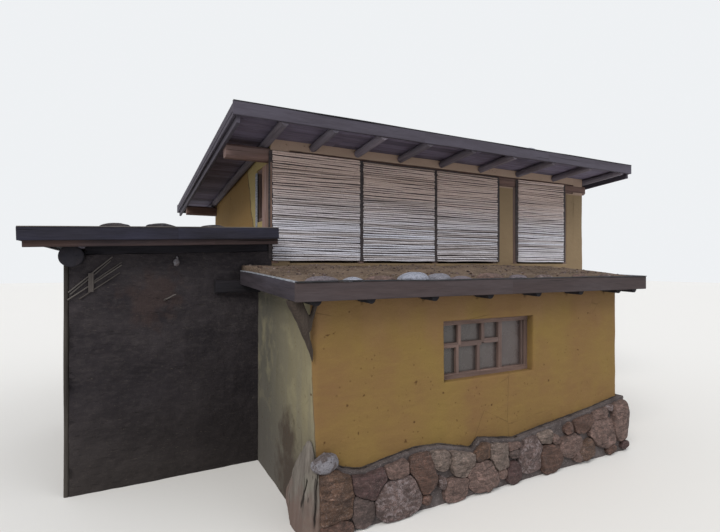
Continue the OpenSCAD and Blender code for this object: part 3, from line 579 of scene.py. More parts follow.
def seeded(dice):
    return Vector([dice.uniform(0, 90) for _ in range(3)])


def unit_ball(cuts):
    """Points and faces of a unit ball, even all over."""
    bm = bmesh.new()
    bmesh.ops.create_icosphere(bm, subdivisions=cuts, radius=1.0)
    points = [v.co.copy() for v in bm.verts]
    faces = [tuple(v.index for v in f.verts) for f in bm.faces]
    bm.free()
    return points, faces


BALLS = {cuts: unit_ball(cuts) for cuts in (1, 3, 4, 5)}


class Shape:
    """Collects swept timbers and stones as one mesh, with a grain coordinate and a tint at each point."""

    def __init__(self, dice):
        self.dice = dice
        self.points, self.faces, self.grain, self.tint = [], [], [], []

    def add(self, points, faces, grain, tint):
        base = len(self.points)
        self.points += [tuple(p) for p in points]
        self.faces += [tuple(base + i for i in face) for face in faces]
        self.grain += [tuple(g) for g in grain]
        self.tint += [tint] * len(points)

    def make(self, name, paint, slot, *nodes, angle=38):
        mesh = bpy.data.meshes.new(name)
        mesh.from_pydata(self.points, [], self.faces)
        carry(mesh, self.grain, self.tint)
        piece(name, mesh, paint, slot, *nodes, angle=angle)

    def sweep(self, path, ring_at, side, up, tint, end_ring=0.93):
        """Rings along a path, closed by slightly domed ends. ring_at(k) gives the outline in (side, up)."""
        count = len(ring_at(0))
        shift = Vector([self.dice.uniform(-9, 9) for _ in range(3)])
        along = (path[-1] - path[0]).normalized()
        points, grain, faces = [], [], []
        length = 0.0
        for k, centre in enumerate(path):
            length += (centre - path[k - 1]).length if k else 0.0
            for u, v in ring_at(k):
                points.append(centre + side * u + up * v)
                grain.append(Vector((u, v, length)) + shift)
            if k:
                faces += band(k * count, (k - 1) * count, count)
        for k, out in ((0, -1), (len(path) - 1, 1)):
            inner, middle = len(points), len(points) + count
            ring = ring_at(k)
            lift = along * out * 0.06 * sum(math.hypot(u, v) for u, v in ring) / count
            far = length if k else 0.0
            for u, v in ring:
                points.append(path[k] + side * u * end_ring + up * v * end_ring + lift)
                grain.append(Vector((u * end_ring, v * end_ring, far)) + shift)
            points.append(path[k] + lift * 1.2)
            grain.append(Vector((0, 0, far)) + shift)
            for quad in band(k * count, inner, count):
                tri = (quad[3], quad[2], middle)
                faces += [quad[::-1], tri[::-1]] if k else [quad, tri]
        if side.cross(up).dot(along) > 0:
            faces = [face[::-1] for face in faces]
        self.add(points, faces, grain, tint)

    def log(self, a, b, radius, taper=0.05, bend=0.008, sides=18, step=LOG_STEP, knots=0.05):
        """A peeled log from a to b: a little bent, tapered and knotty."""
        side, up = across((b - a).normalized())
        length = (b - a).length
        count = max(2, round(length / step))
        seed = self.dice.uniform(0, 90)
        path = []
        for k in range(count + 1):
            t = k / count
            sway = math.sin(math.pi * t) * bend * 4
            path.append(a.lerp(b, t) + side * sway * wave(seed, t * 2.2)
                        + up * sway * 0.6 * wave(seed, t * 2.2, 7))

        def ring_at(k):
            t = k / count
            ring = []
            for c, s in circle(1.0, sides):
                knot = knots * wave(c * 1.3 + seed, s * 1.3, t * length * 1.7)
                r = radius * (1 + taper * (0.5 - t) + knot)
                ring.append((r * c, r * s))
            return ring
        self.sweep(path, ring_at, side, up, self.dice.random())

    def plank(self, a, b, width, thick, up, warp=0.003, edge=0.004, step=0.35):
        """A sawn board from a to b with eased edges, a little warped. Its width lies square to up."""
        side = (b - a).normalized().cross(up).normalized()
        length = (b - a).length
        count = max(2, round(length / step))
        seed = self.dice.uniform(0, 90)
        e = min(edge, width / 4, thick / 4)
        w, h = width / 2, thick / 2
        base = [(w - e, -h), (w, -h + e), (w, h - e), (w - e, h)]
        base += [(-u, -v) for u, v in base]
        path = [a.lerp(b, k / count) + up * warp * wave(seed, k / count * length * 0.9, 3)
                + side * warp * 0.7 * wave(seed, k / count * length * 0.7, 9) for k in range(count + 1)]

        def ring_at(k):
            wane = 1 + 0.02 * wave(seed + 5, k * 0.8)
            return [(u * wane, v) for u, v in base]
        self.sweep(path, ring_at, side, up, self.dice.random(), end_ring=0.985)

    def bar(self, lo, hi, edge=0.006):
        """A sawn bar that fills a box, its grain along the longest side."""
        size = hi - lo
        axis = max(range(3), key=lambda k: size[k])
        up = UP if axis == 1 else BACK
        width = abs(size.dot((RIGHT, BACK, UP)[axis].cross(up)))
        self.plank(*spine(lo, hi, axis), width, abs(size.dot(up)), up, warp=0.0015, edge=edge, step=0.2)

    def run_planks(self, a, b, cuts, width, thick=FASCIA, warp=0.005, edge=0.006):
        """One long board on edge, made of lengths that meet at the given shares of its run."""
        gap = 0.0015 / (b - a).length
        for lo, hi in zip(cuts, cuts[1:]):
            self.plank(a.lerp(b, lo + gap), a.lerp(b, hi - gap), width, thick, BACK, warp, edge)

    def boards(self, corner, run, cross, length, total, width=BOARD_WIDTH, joints=(0.3, 0.62)):
        """Rows of butted boards from a corner: each row lies along run, the rows follow along cross."""
        gap, uniform = 0.004, self.dice.uniform
        up = run.cross(cross)
        up = up if up.z > 0 else -up
        rows = max(1, round(total / width))
        pitch = total / rows
        for row in range(rows):
            cuts = [0.0] + [length * (j + uniform(-0.07, 0.07)) for j in joints] + [length]
            if row % 2:
                cuts = [length - c for c in reversed(cuts)]
            centre = corner + cross * (pitch * (row + 0.5)) + up * BOARD / 2
            for lo, hi in zip(cuts, cuts[1:]):
                start = centre + up * uniform(-0.0015, 0.0015)
                self.plank(start + run * (lo + gap / 2), start + run * (hi - gap / 2),
                           pitch - gap * uniform(0.6, 1.6), BOARD - 0.003, up, warp=0.002)

    def stone(self, centre, size, cuts=4, turn=None, tint=0.5, rough=0.12, flats=7, cut=0.78):
        """A field stone: a ball of three sizes, hewn by some flat faces, then made lumpy."""
        points, faces = BALLS[cuts]
        seed = seeded(self.dice)
        planes = []
        for _ in range(flats):
            normal = Vector([self.dice.gauss(0, 1) for _ in range(3)]).normalized()
            planes.append((normal, self.dice.uniform(cut, 0.95)))
        spin = Matrix.Rotation(self.dice.uniform(0, 2 * math.pi) if turn is None else turn, 3, "Z")
        made, grain = [], []
        for p in points:
            q = p.copy()
            for normal, reach in planes:
                q -= normal * max(0.0, q.dot(normal) - reach) * 0.96
            q *= 1 + rough * sum(share * noise.noise(p * rate + seed)
                                 for rate, share in ((1.3, 1), (4.1, 0.3), (9.0, 0.15)))
            q = Vector([q[k] * size[k] / 2 for k in range(3)])
            made.append(centre + spin @ q)
            grain.append(q + seed)
        self.add(made, faces, grain, tint)


def carry(mesh, grain, tint):
    """Stores the grain coordinate and the tint that the materials read."""
    for key, kind in (("grain", "FLOAT_VECTOR"), ("tint", "FLOAT")):
        if key not in mesh.attributes:
            mesh.attributes.new(key, kind, "POINT")
    mesh.attributes["grain"].data.foreach_set("vector", [c for g in grain for c in g])
    mesh.attributes["tint"].data.foreach_set("value", tint)


def piece(name, mesh, paint, slot, *nodes, angle=38):
    """Links a mesh as a piece of the house, which may stand for some nodes."""
    mesh.validate()
    mesh.shade_smooth()
    mesh.set_sharp_from_angle(angle=math.radians(angle))
    mesh.materials.append(PAINTS[paint])
    made = bpy.data.objects.new(name, mesh)
    bpy.context.scene.collection.objects.link(made)
    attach(made, BODY)
    if nodes:
        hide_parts(*nodes)
    return made


# Walls: the node's own form, cut fine and made uneven

PLASTER_WAVES = ((1.3, 0.012), (0.34, 0.006), (0.12, 0.0025))
MUD_WAVES = ((1.5, 0.018), (0.42, 0.016), (0.15, 0.009), (0.07, 0.005))
MORTAR_WAVES = ((0.25, 0.012), (0.09, 0.008), (0.04, 0.003))
# How far off a face an edge may lie and still belong to it
TOUCH = 0.002


def from_nodes(*names):
    bm = bmesh.new()
    for name in names:
        bm.from_mesh(frame["nodes"][name].data)
    bmesh.ops.remove_doubles(bm, verts=bm.verts[:], dist=1e-5)
    bmesh.ops.dissolve_limit(bm, angle_limit=0.008, verts=bm.verts[:], edges=bm.edges[:])
    return bm


def cut_fine(bm, step):
    """Cuts all faces along planes that are the same for every piece, so that neighbours still meet."""
    for axis, square in enumerate((RIGHT, BACK, UP)):
        ends = [v.co[axis] for v in bm.verts]
        for k in range(math.ceil(min(ends) / step + 0.02), math.floor(max(ends) / step - 0.02) + 1):
            bmesh.ops.bisect_plane(bm, geom=bm.verts[:] + bm.edges[:] + bm.faces[:], dist=1e-5,
                                   plane_co=square * k * step, plane_no=square)
    bmesh.ops.triangulate(bm, faces=[f for f in bm.faces if len(f.verts) > 4])


def as_mesh(bm, name):
    mesh = bpy.data.meshes.new(name)
    bm.to_mesh(mesh)
    bm.free()
    return mesh


def uneven(point, waves):
    """A smooth shift of a point: the same at the same place, whatever piece it belongs to."""
    shift = Vector((0, 0, 0))
    for size, amount in waves:
        shift += noise.noise_vector(point / size) * amount
    shift.z *= 0.35 * smooth(0.0, 0.15, point.z)
    return shift


def wall(name, nodes, paint="main", slot="yellow_plaster", cell=WALL_CELL, waves=PLASTER_WAVES,
         round_off=None, radius=0.02, extra=None):
    """A wall piece in place of nodes. round_off picks the edges that get a rounded corner."""
    bm = from_nodes(*nodes)
    if round_off:
        edges = [e for e in bm.edges if len(e.link_faces) == 2 and e.calc_face_angle(0) > 0.5
                 and round_off((e.verts[0].co + e.verts[1].co) / 2, e.verts[1].co - e.verts[0].co)]
        bmesh.ops.bevel(bm, geom=edges, offset=radius, segments=3, profile=0.5, affect="EDGES",
                        clamp_overlap=True)
    cut_fine(bm, cell)
    for v in bm.verts:
        v.co += uneven(v.co, waves)
        if extra:
            v.co += extra(v.co)
    piece(name, as_mesh(bm, name), paint, slot, *nodes)


def around_hole(node, face_at):
    """Picks the edges of a window's or door's hole on the face of a wall that is square to y."""
    lo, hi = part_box(node)

    def pick(middle, _):
        on_face = abs(middle.y - face_at) < TOUCH
        return on_face and all(lo[k] - 0.01 < middle[k] < hi[k] + 0.01 for k in (0, 2))
    return pick


def build_annex_walls():
    wall("annex_front", ["annex_front_wall"], "annex", cell=0.055,
         round_off=around_hole("window_frame", CORNER.y), radius=0.022)
    wall("annex_left", ["annex_left_wall"], "annex", cell=0.055)
    wall("annex_right", ["annex_right_wall"], "annex")


# Lower and upper end of the patch of mud wall where the coat is gone and bare canes show
BARE_PATCH = ((-2.47, 2.64), (-1.95, 3.02))


def build_mud_walls():
    front_y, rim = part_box("mud_front_wall")[0].y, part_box("mud_front_wall")[1].z
    left_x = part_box("mud_left_wall")[0].x
    (x0, z0), (x1, z1) = BARE_PATCH
    run, rise = x1 - x0, z1 - z0

    def to_post(p):
        """Brings the corner of the wall out to the post that stands in front of it."""
        near = smooth(0.16, 0.08, p.y - front_y) * (p.x < left_x + 0.05)
        return RIGHT * min(0.0, left_x - 0.004 - p.x) * near

    def upper_coat(p):
        """The thicker, lumpier coat on the upper half of the front, and level ridges all over it."""
        if p.y > front_y + 0.02:
            return to_post(p)
        x = p.x - CORNER.x
        t = min(1.0, max(0.0, ((x - x0) * run + (p.z - z0) * rise) / (run ** 2 + rise ** 2)))
        beside = math.hypot(x - lerp(x0, x1, t), p.z - lerp(z0, z1, t)) + 0.05 * noise.noise(p * 9)
        bare = smooth(0.25, 0.17, beside)
        edge = 2.35 + 0.35 * wave(p.x * 0.9, p.y * 0.9)
        share = smooth(edge - 0.03, edge + 0.03, p.z) * smooth(rim + 0.01, rim - 0.1, p.z)
        ridge = 0.009 * wave(p.x * 7, p.y * 7, p.z * 24)
        coat = (0.012 + 0.012 * noise.noise(p * 5.5)) * share + ridge
        return BACK * lerp(-coat, front_y + 0.006 - p.y, bare) + to_post(p)
    for side, cell, extra in (("front", 0.035, upper_coat), ("left", 0.07, to_post), ("back", 0.07, None)):
        wall(f"mud_{side}", [f"mud_{side}_wall"], "mud", "mud_plaster", cell, MUD_WAVES, extra=extra)


def build_main_walls():
    inner_x, right_x = (corner.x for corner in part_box("main_right_wall"))
    back_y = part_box("main_back_wall")[1].y

    def back_corner(middle, _):
        return abs(middle.x - right_x) < TOUCH and (abs(middle.y - back_y) < TOUCH or middle.z > 3.7)

    def pier_corner(middle, run):
        return abs(run.z) > abs(run.x) + abs(run.y) and abs(middle.x - inner_x) > 0.01
    wall("main_front", ["main_front_wall"])
    wall("main_left", ["main_left_wall"])
    wall("main_right", ["main_right_wall"], round_off=back_corner, radius=0.03)
    wall("main_back", ["main_back_wall"], round_off=around_hole("back_door_frame", back_y))
    wall("main_back_upper", ["upper_back_wall", "upper_back_piers"])
    wall("gallery_piers", ["upper_front_piers"], cell=0.06, waves=((0.5, 0.006), (0.12, 0.002)),
         round_off=pier_corner, radius=0.018)
    # The strip under the eaves is painted lighter than the wall below it: painted light
    wall("eaves_strip", ["eaves_plaster"], "eaves")
    wall("floors", ["earth_floors"], "floor", "earth_floor", 0.25, ((0.8, 0.004),))


# Plinth: mortar, and rubble laid into it

SET_BACK = 0.045
JOINT_DEPTH = 0.03
STONE_ROOT = 0.085
# Bare wall between the stones and the plinth's upper edge
CAP = 0.038
# Power in the outline of a stone: 2 is an oval, more is blockier
BLOCKY = 2.6
PLINTH_STONES = [
    # place along the front, height, width, height of the stone, how far it stands out, tone, lean, ledges
    (0.226, 0.425, 0.52, 0.56, 0.075, GOLDEN, 0.10, 1.0),
    (0.180, 0.070, 0.46, 0.20, 0.065, RUSTY, 0.0, 0.5),
    (0.562, 0.218, 0.31, 0.36, 0.055, GREY, 0.1, 0.5),
    (0.659, 0.502, 0.41, 0.43, 0.070, PURPLE, -0.5, 0.45),
    (1.037, 0.578, 0.35, 0.20, 0.060, PINK, 0.05, 0.0),
    (1.058, 0.249, 0.67, 0.45, 0.085, PALE, 0.12, 0.3),
    (1.411, 0.490, 0.34, 0.60, 0.070, RUSTY, 0.12, 0.0),
    (1.684, 0.600, 0.24, 0.34, 0.060, SAND, 0.25, 0.0),
    (1.676, 0.284, 0.12, 0.14, 0.045, PALE, 0.0, 0.0),
    (2.036, 0.490, 0.41, 0.37, 0.075, SAND, 0.5, 0.0),
    (1.906, 0.170, 0.37, 0.28, 0.060, PINK, 0.0, 0.0),
    (2.347, 0.590, 0.35, 0.33, 0.060, GOLDEN, 0.0, 0.0),
    (2.665, 0.460, 0.33, 0.42, 0.060, SAND, 0.0, 0.0),
    (2.347, 0.220, 0.52, 0.36, 0.065, PINK, 0.0, 0.0),
    (5.296, 0.500, 0.39, 0.66, 0.075, PINK, 0.0, 0.0),
]
# Rows of a stone from its root to its crown: share of the rim, share of how far it stands out
STONE_PROFILE = ((0.97, -1.0), (1.0, -0.3), (0.985, 0.28), (0.955, 0.52), (0.905, 0.72), (0.83, 0.85),
                 (0.72, 0.93), (0.58, 0.975), (0.42, 1.0), (0.22, 1.0))


def wandering(x, z):
    """A place on the wall shifted a little, alike for all stones, which makes their joints irregular."""
    shift = 0.045 * noise.noise_vector(Vector((x * 4.2, z * 4.2, 3)))
    shift += 0.014 * noise.noise_vector(Vector((x * 15, z * 15, 7)))
    return x + shift.x, z + shift.y


def apart(x, z, laid_stone):
    """How far a place is from a stone's middle, where 1 is about its rim. Rims are blocky, and may lean."""
    x0, z0, w, h, _, _, lean, _ = laid_stone
    c, s = math.cos(lean), math.sin(lean)
    dx, dz = x - x0, z - z0
    return (abs(dx * c + dz * s) * 2 / w) ** BLOCKY + (abs(dz * c - dx * s) * 2 / h) ** BLOCKY


def throw_stones(fixed, width, top_at, dice):
    """Adds smaller and smaller stones between the fixed ones until the wall is full."""
    laid = list(fixed)
    for size, tries in ((0.52, 400), (0.40, 500), (0.28, 600), (0.18, 350)):
        for _ in range(tries):
            w, h = size * dice.uniform(0.8, 1.3), size * dice.uniform(0.6, 1.0)
            x = dice.uniform(w / 2, width - w / 2)
            z = dice.uniform(h * 0.42, top_at(x) - h / 2)
            if top_at(x) < h or any(((x - s[0]) / (w + s[2])) ** 2 + ((z - s[1]) / (h + s[3])) ** 2 < 0.225
                                    for s in laid):
                continue
            tone = dice.choice((PURPLE, GOLDEN, RUSTY, PINK, PINK, PALE, GREY, SAND))
            laid.append((x, z, w, h, 0.035 + 0.09 * min(w, h), tone, dice.uniform(-0.5, 0.5),
                         dice.choice((0.0, 0.0, 0.4))))
    return laid


def stone_rim(n, laid, top_at, ends, angles, seed):
    """How far a stone reaches in each direction before it meets a neighbour, an end or its own size."""
    x, z, w, h = laid[n][:4]
    near = [s for k, s in enumerate(laid) if k != n and abs(s[0] - x) < s[2] + w and abs(s[1] - z) < s[3] + h]
    reach = []
    for c, s in circle(1.0, angles):
        size = 1.10 * (1 + 0.16 * wave(c * 1.2, s * 1.2, seed.x) + 0.07 * wave(c * 3.5, s * 3.5, seed.x))
        r = 0.01
        while r < w + h:
            px, pz = x + c * r, z + s * r
            wx, wz = wandering(px, pz)
            mine = apart(wx, wz, laid[n])
            if mine > size ** BLOCKY or any(apart(wx, wz, q) < mine for q in near) or pz < 0.004 \
                    or pz > top_at(px) - CAP or not ends[0] < px < ends[1]:
                break
            r += 0.006
        reach.append(max(0.02, (r - 0.004) * (1 - 0.07 * abs(wave(c * 5, s * 5, seed.y)))))
    return [(reach[i - 1] + 4 * reach[i] + reach[(i + 1) % angles]) / 6 for i in range(angles)]


def lay_stones(shape, laid, top_at, ends, place):
    """Each stone fills its rim, with a steep edge, some hewn faces, lumps and maybe ledges."""
    dice = shape.dice
    for n, (x, z, w, h, out, tone, _, ledges) in enumerate(laid):
        seed = seeded(dice)
        big = max(w, h)
        angles = 26 if big < 0.2 else 42 if big < 0.35 else 60
        reach = stone_rim(n, laid, top_at, ends, angles, seed)
        hewn = [(turn, dice.uniform(0.70, 1.05), dice.uniform(0.3, 0.95))
                for turn in [dice.uniform(0, 2 * math.pi) for _ in range(5)]]

        def height(u, v, lift):
            """How far the stone stands out beside its middle, on a row that is lifted by a share."""
            if lift < 0:
                return STONE_ROOT * lift
            deep = out * lift
            for turn, middle, fall in hewn:
                beside = (u * math.cos(turn) / w + v * math.sin(turn) / h) * 2
                deep = min(deep, out * max(0.12, middle - fall * beside))
            deep += out * lift * (0.24 * noise.noise(Vector((u * 6, v * 6, 0)) + seed)
                                  + 0.16 * noise.noise(Vector((u * 17, v * 17, 4)) + seed))
            step = (v * 9 + 0.7 * noise.noise(Vector((u * 3, v * 3, 8)) + seed)) % 1
            return deep - out * ledges * 0.30 * smooth(0.0, 0.85, step) * smooth(1.0, 0.85, step) * lift
        points, grain, faces = [], [], []
        for share, lift in STONE_PROFILE:
            for (c, s), far in zip(circle(1.0, angles), reach):
                u, v = c * far * share, s * far * share
                deep = height(u, v, lift)
                points.append(place(x + u, z + v, deep))
                grain.append(Vector((u, v, deep)) + seed)
        crown, root = len(points), len(points) + 1
        points += [place(x, z, out * 0.95), place(x, z, -STONE_ROOT)]
        grain += [seed, seed]
        for k in range(len(STONE_PROFILE) - 1):
            faces += band(k * angles, (k + 1) * angles, angles)
        for i in range(angles):
            j = (i + 1) % angles
            faces += [(crown - angles + i, crown - angles + j, crown), (j, i, root)]
        if place(0, 0, 1).x - place(0, 0, 0).x > 0.5:
            faces = [face[::-1] for face in faces]
        shape.add(points, faces, grain, tone)


def build_plinth():
    lo, hi = span("stone_plinth")
    right_x = span("annex_right_wall")[1].x
    foot = -lo.y
    # How much the front leans back for each metre up, until 12 cm in front of the wall at 0.7 m
    lean = (foot - 0.12) / 0.7
    # The upper edge of the plinth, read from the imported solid's own corners
    edge = {}
    for v in frame["nodes"]["stone_plinth"].data.vertices:
        if v.co.z > 0.3 and v.co.y < CORNER.y + 0.001:
            x = round(v.co.x - CORNER.x, 4)
            edge[x] = max(v.co.z, edge.get(x, 0))
    edge = sorted(edge.items())

    def top_front(x):
        for (x0, z0), (x1, z1) in zip(edge, edge[1:]):
            if x <= x1:
                return lerp(z0, z1, min(1.0, max(0.0, (x - x0) / (x1 - x0 + 1e-9))))
        return edge[-1][1]

    def side_top(y):
        return hi.z - 0.05 - 0.03 * math.sin(y * 5)

    def stand(z, out):
        """How far a point of a stone stands in front of the wall above the plinth."""
        return foot - lean * z - SET_BACK * 0.55 + out

    stones = Shape(random.Random(11))
    dice = stones.dice
    laid = throw_stones(PLINTH_STONES, hi.x - 0.06, lambda x: top_front(x) if x > 0.5 else 0.0, dice)
    lay_stones(stones, laid, top_front, (lo.x - 0.05, hi.x), lambda x, z, out: at(x, -stand(z, out), z))
    laid = throw_stones([], hi.y - 0.05, side_top, dice)
    lay_stones(stones, laid, side_top, (-0.1, hi.y), lambda y, z, out: at(right_x + stand(z, out), y, z))
    stones.make("plinth_stones", "granite", "rubble_stone")

    corner = Shape(dice)
    corner.stone(at(0.105, -0.085, 0.823), (0.33, 0.20, 0.235), cuts=5, turn=0.0, tint=WHITE, rough=0.05,
                 flats=8, cut=0.80)
    corner.make("white_corner_stone", "granite", "rubble_stone", angle=30)

    def set_back(p):
        joint = SET_BACK + JOINT_DEPTH * smooth(0.03, 0.10, top_front(p.x - CORNER.x) - p.z)
        return Vector((-joint * (p.x > CORNER.x + right_x + 0.03), joint * (p.y < CORNER.y - 0.03), 0))
    wall("plinth_mortar", ["stone_plinth"], "mortar", "rubble_stone", SET_BACK, MORTAR_WAVES, extra=set_back)

    # A thin dark line along the plinth's upper edge: dirt on the ledge, and painted shade where the mortar's
    # lip meets the wall
    dirt = Shape(dice)
    x = 0.24
    path = []
    while x < right_x:
        path.append(at(x, -0.006, top_front(x) + 0.004) + 0.006 * noise.noise_vector(Vector((x * 9, 0, 0))))
        x += 0.04
    dirt.sweep(path, lambda k: circle(0.010 * (1 + 0.5 * wave(k * 0.4, 5)), 7), BACK, UP, 0.5)
    dirt.make("ledge_dirt", "dirt", "rubble_stone", angle=70)


# Upper and lower end of two cracks in the boulder, and the direction in which they run into it
CRACKS = ((at(-0.121, -0.13, 0.68), at(-0.2, -0.13, 0.41)), (at(0.006, -0.13, 0.74), at(-0.017, -0.13, 0.25)))
INWARDS = Vector((0.36, 0.93, -0.47))


def build_buttress():
    """The boulder at the corner: its node's form with upright grooves and two open cracks."""
    bm = from_nodes("corner_buttress")
    cut_fine(bm, 0.014)
    heart = at(0.02, 0.16, 0)
    depth = []
    for v in bm.verts:
        p = v.co.copy()
        inward = Vector((heart.x - p.x, heart.y - p.y, 0)).normalized()
        groove = wave(p.x * 13, p.y * 13, p.z * 1.1)
        fine = wave(p.x * 38, p.y * 38, p.z * 3.5)
        crack = 0.0
        for a, b in CRACKS:
            beside = (p - a).dot((b - a).cross(INWARDS).normalized()) + 0.008 * noise.noise(p * 14)
            along = (p - a).dot(b - a) / (b - a).length_squared
            wide = 0.006 + 0.007 * smooth(0.2, 1.0, along)
            deep = math.exp(-(beside / wide) ** 2) * smooth(-0.1, 0.1, along) * smooth(1.35, 1.05, along)
            crack = max(crack, deep * (p.y < heart.y - 0.05))
        depth.append(crack)
        v.co += uneven(p, ((0.3, 0.014), (0.1, 0.008)))
        v.co += inward * (0.018 * max(0.0, groove) + 0.008 * abs(groove) + 0.004 * fine + 0.028 * crack)
    mesh = as_mesh(bm, "corner_boulder")
    carry(mesh, [v.co for v in mesh.vertices], depth)
    piece("corner_boulder", mesh, "render", "pale_stone", "corner_buttress", angle=60)


# Windows and door

# A hole that ends above this height meets the eaves strip, so its frame gets no lip there
EAVES = 4.6
LEFT_WINDOW_TOP = 4.64


def window_bars(shape, lo, hi, edge=0.06, lip=0.015, mids=()):
    """A frame round a hole, square to x or to y, with upright bars at shares of its width."""
    over, inward = (BACK, RIGHT) if hi.y - lo.y > hi.x - lo.x else (RIGHT, BACK)
    width = (hi - lo).dot(over)
    run, rim = width + 2 * lip, edge + lip
    low, top = lo.z - lip, hi.z + lip * (hi.z < EAVES)
    foot = Vector((lo.x, lo.y, 0)) - over * lip
    deep = inward * (hi - lo).dot(inward)

    def add(a0, a1, z0, z1, inset=0.0):
        shape.bar(foot + over * a0 + UP * z0 + inward * inset,
                  foot + over * a1 + UP * z1 + deep - inward * inset * 0.7)
    for z in (low, top - rim):
        add(0, run, z, z + rim)
    for a in (0, run - rim):
        add(a, a + rim, low + rim, top - rim, 0.003)
    for share, size in mids:
        middle = lip + share * width
        add(middle - size / 2, middle + size / 2, low + rim, top - rim, 0.006)


def build_annex_window():
    """The frame, uprights above and below a rail in three parts, and a slim upright at the right."""
    shape = Shape(random.Random(21))
    lo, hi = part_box("window_frame")
    w, h = hi.x - lo.x, hi.z - lo.z
    edge, high = 0.07, 0.068
    rail = lo.z + 0.53 * h
    window_bars(shape, lo, hi, edge, 0.02, ((0.668, 0.072),))

    def add(x0, x1, z0, z1, inset=0.008):
        shape.bar(Vector((lo.x + x0, lo.y + inset, z0)), Vector((lo.x + x1, hi.y - 0.006, z1)))
    upper, lower = (rail + high / 2, hi.z - edge), (lo.z + edge, rail + high / 2)
    for share, half, ends in ((0.212, 0.030, upper), (0.190, 0.025, lower),
                              (0.470, 0.030, upper), (0.422, 0.025, lower)):
        add(share * w - half, share * w + half, *ends, 0.006)
    for x0, x1, lift in ((edge, 0.19 * w, -0.004), (0.19 * w, 0.452 * w, 0.0), (0.485 * w, 0.648 * w, 0.016)):
        add(x0, x1, rail + lift, rail + lift + high)
    add(w - edge - 0.045, w - edge - 0.012, lo.z + edge, hi.z - edge, 0.016)
    shape.make("window_timbers", "brown", "painted_timber", "window_frame")


def build_upper_windows():
    """Frames of the upper side and back windows, and the boards that close half of the left one."""
    shape = Shape(random.Random(121))
    lo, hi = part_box("upper_window_frames")
    deep = 0.06
    left, right = Vector((lo.x, lo.y, 3.75)), Vector((hi.x - deep, CORNER.y + 3.18, 3.75))
    window_bars(shape, left, Vector((lo.x + deep, CORNER.y + 3.12, LEFT_WINDOW_TOP)), mids=((0.56, 0.05),))
    holes = [(right, Vector((deep, 0.72, 0.69)))]
    holes += [(at(x, 6.88, 3.3), Vector((0.9, deep, 0.6))) for x in (1.706, 4.906)]
    for low, size in holes:
        window_bars(shape, low, low + size, mids=((0.5, 0.05),))
    shape.make("upper_window_timbers", "brown", "painted_timber", "upper_window_frames")

    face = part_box("main_left_wall")[0].x
    shutter = Shape(shape.dice)
    for k in range(4):
        y = CORNER.y + 2.264 + 0.119 * k
        shutter.bar(Vector((face - 0.016, y, 3.50)),
                    Vector((face + 0.010, y + 0.116, LEFT_WINDOW_TOP - 0.012)))
    shutter.make("left_window_boards", "shutter", "painted_timber")
    strip = Shape(shape.dice)
    for side, width in ((3.062, 0.055), (3.125, 0.03)):
        y = CORNER.y + side
        strip.bar(Vector((face - 0.018, y, 3.60)), Vector((face + 0.006, y + width, LEFT_WINDOW_TOP - 0.05)))
    strip.make("left_window_strips", "pale_liner", "painted_timber")


def build_back_door():
    """Upright boards with two battens and a handle, and the rim of the doorway."""
    leaf = Shape(random.Random(131))
    lo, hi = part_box("back_door")
    count = 6
    width = (hi.x - lo.x) / count
    for k in range(count):
        x = lo.x + k * width
        leaf.bar(Vector((x + 0.002, lo.y + 0.006, lo.z + 0.006)),
                 Vector((x + width - 0.002, hi.y - 0.004, hi.z - 0.002)))
    for z in (lo.z + 0.30, lo.z + 1.75):
        leaf.bar(Vector((lo.x + 0.03, hi.y - 0.006, z)), Vector((hi.x - 0.03, hi.y + 0.014, z + 0.12)))
    leaf.bar(Vector((lo.x + 0.06, hi.y - 0.004, lo.z + 0.96)),
             Vector((lo.x + 0.09, hi.y + 0.03, lo.z + 1.12)))
    leaf.make("door_leaf", "brown", "painted_timber", "back_door")

    rim = Shape(leaf.dice)
    lo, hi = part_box("back_door_frame")
    edge, lip = 0.07, 0.012
    for x0, x1, z0, z1 in ((lo.x - lip, lo.x + edge, lo.z, hi.z), (hi.x - edge, hi.x + lip, lo.z, hi.z),
                           (lo.x + edge, hi.x - edge, hi.z - edge, hi.z + lip)):
        rim.bar(Vector((x0, lo.y, z0)), Vector((x1, hi.y, z1)))
    rim.make("door_rim", "brown", "painted_timber", "back_door_frame")


# Roof of the annex, soil and loose stones of all roofs

# Height of the underside of the annex roof boards at the face of its front wall
ANNEX_SEAT = 2.705


def long_board(name, node, cuts, warp, paint, dice):
    """A board on edge that fills its node's box, made of several lengths."""
    shape = Shape(dice)
    lo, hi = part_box(node)
    shape.run_planks(*spine(lo, hi), cuts, hi.z - lo.z, warp=warp)
    shape.make(name, paint, "fascia_board", node)
    return hi.z - lo.z


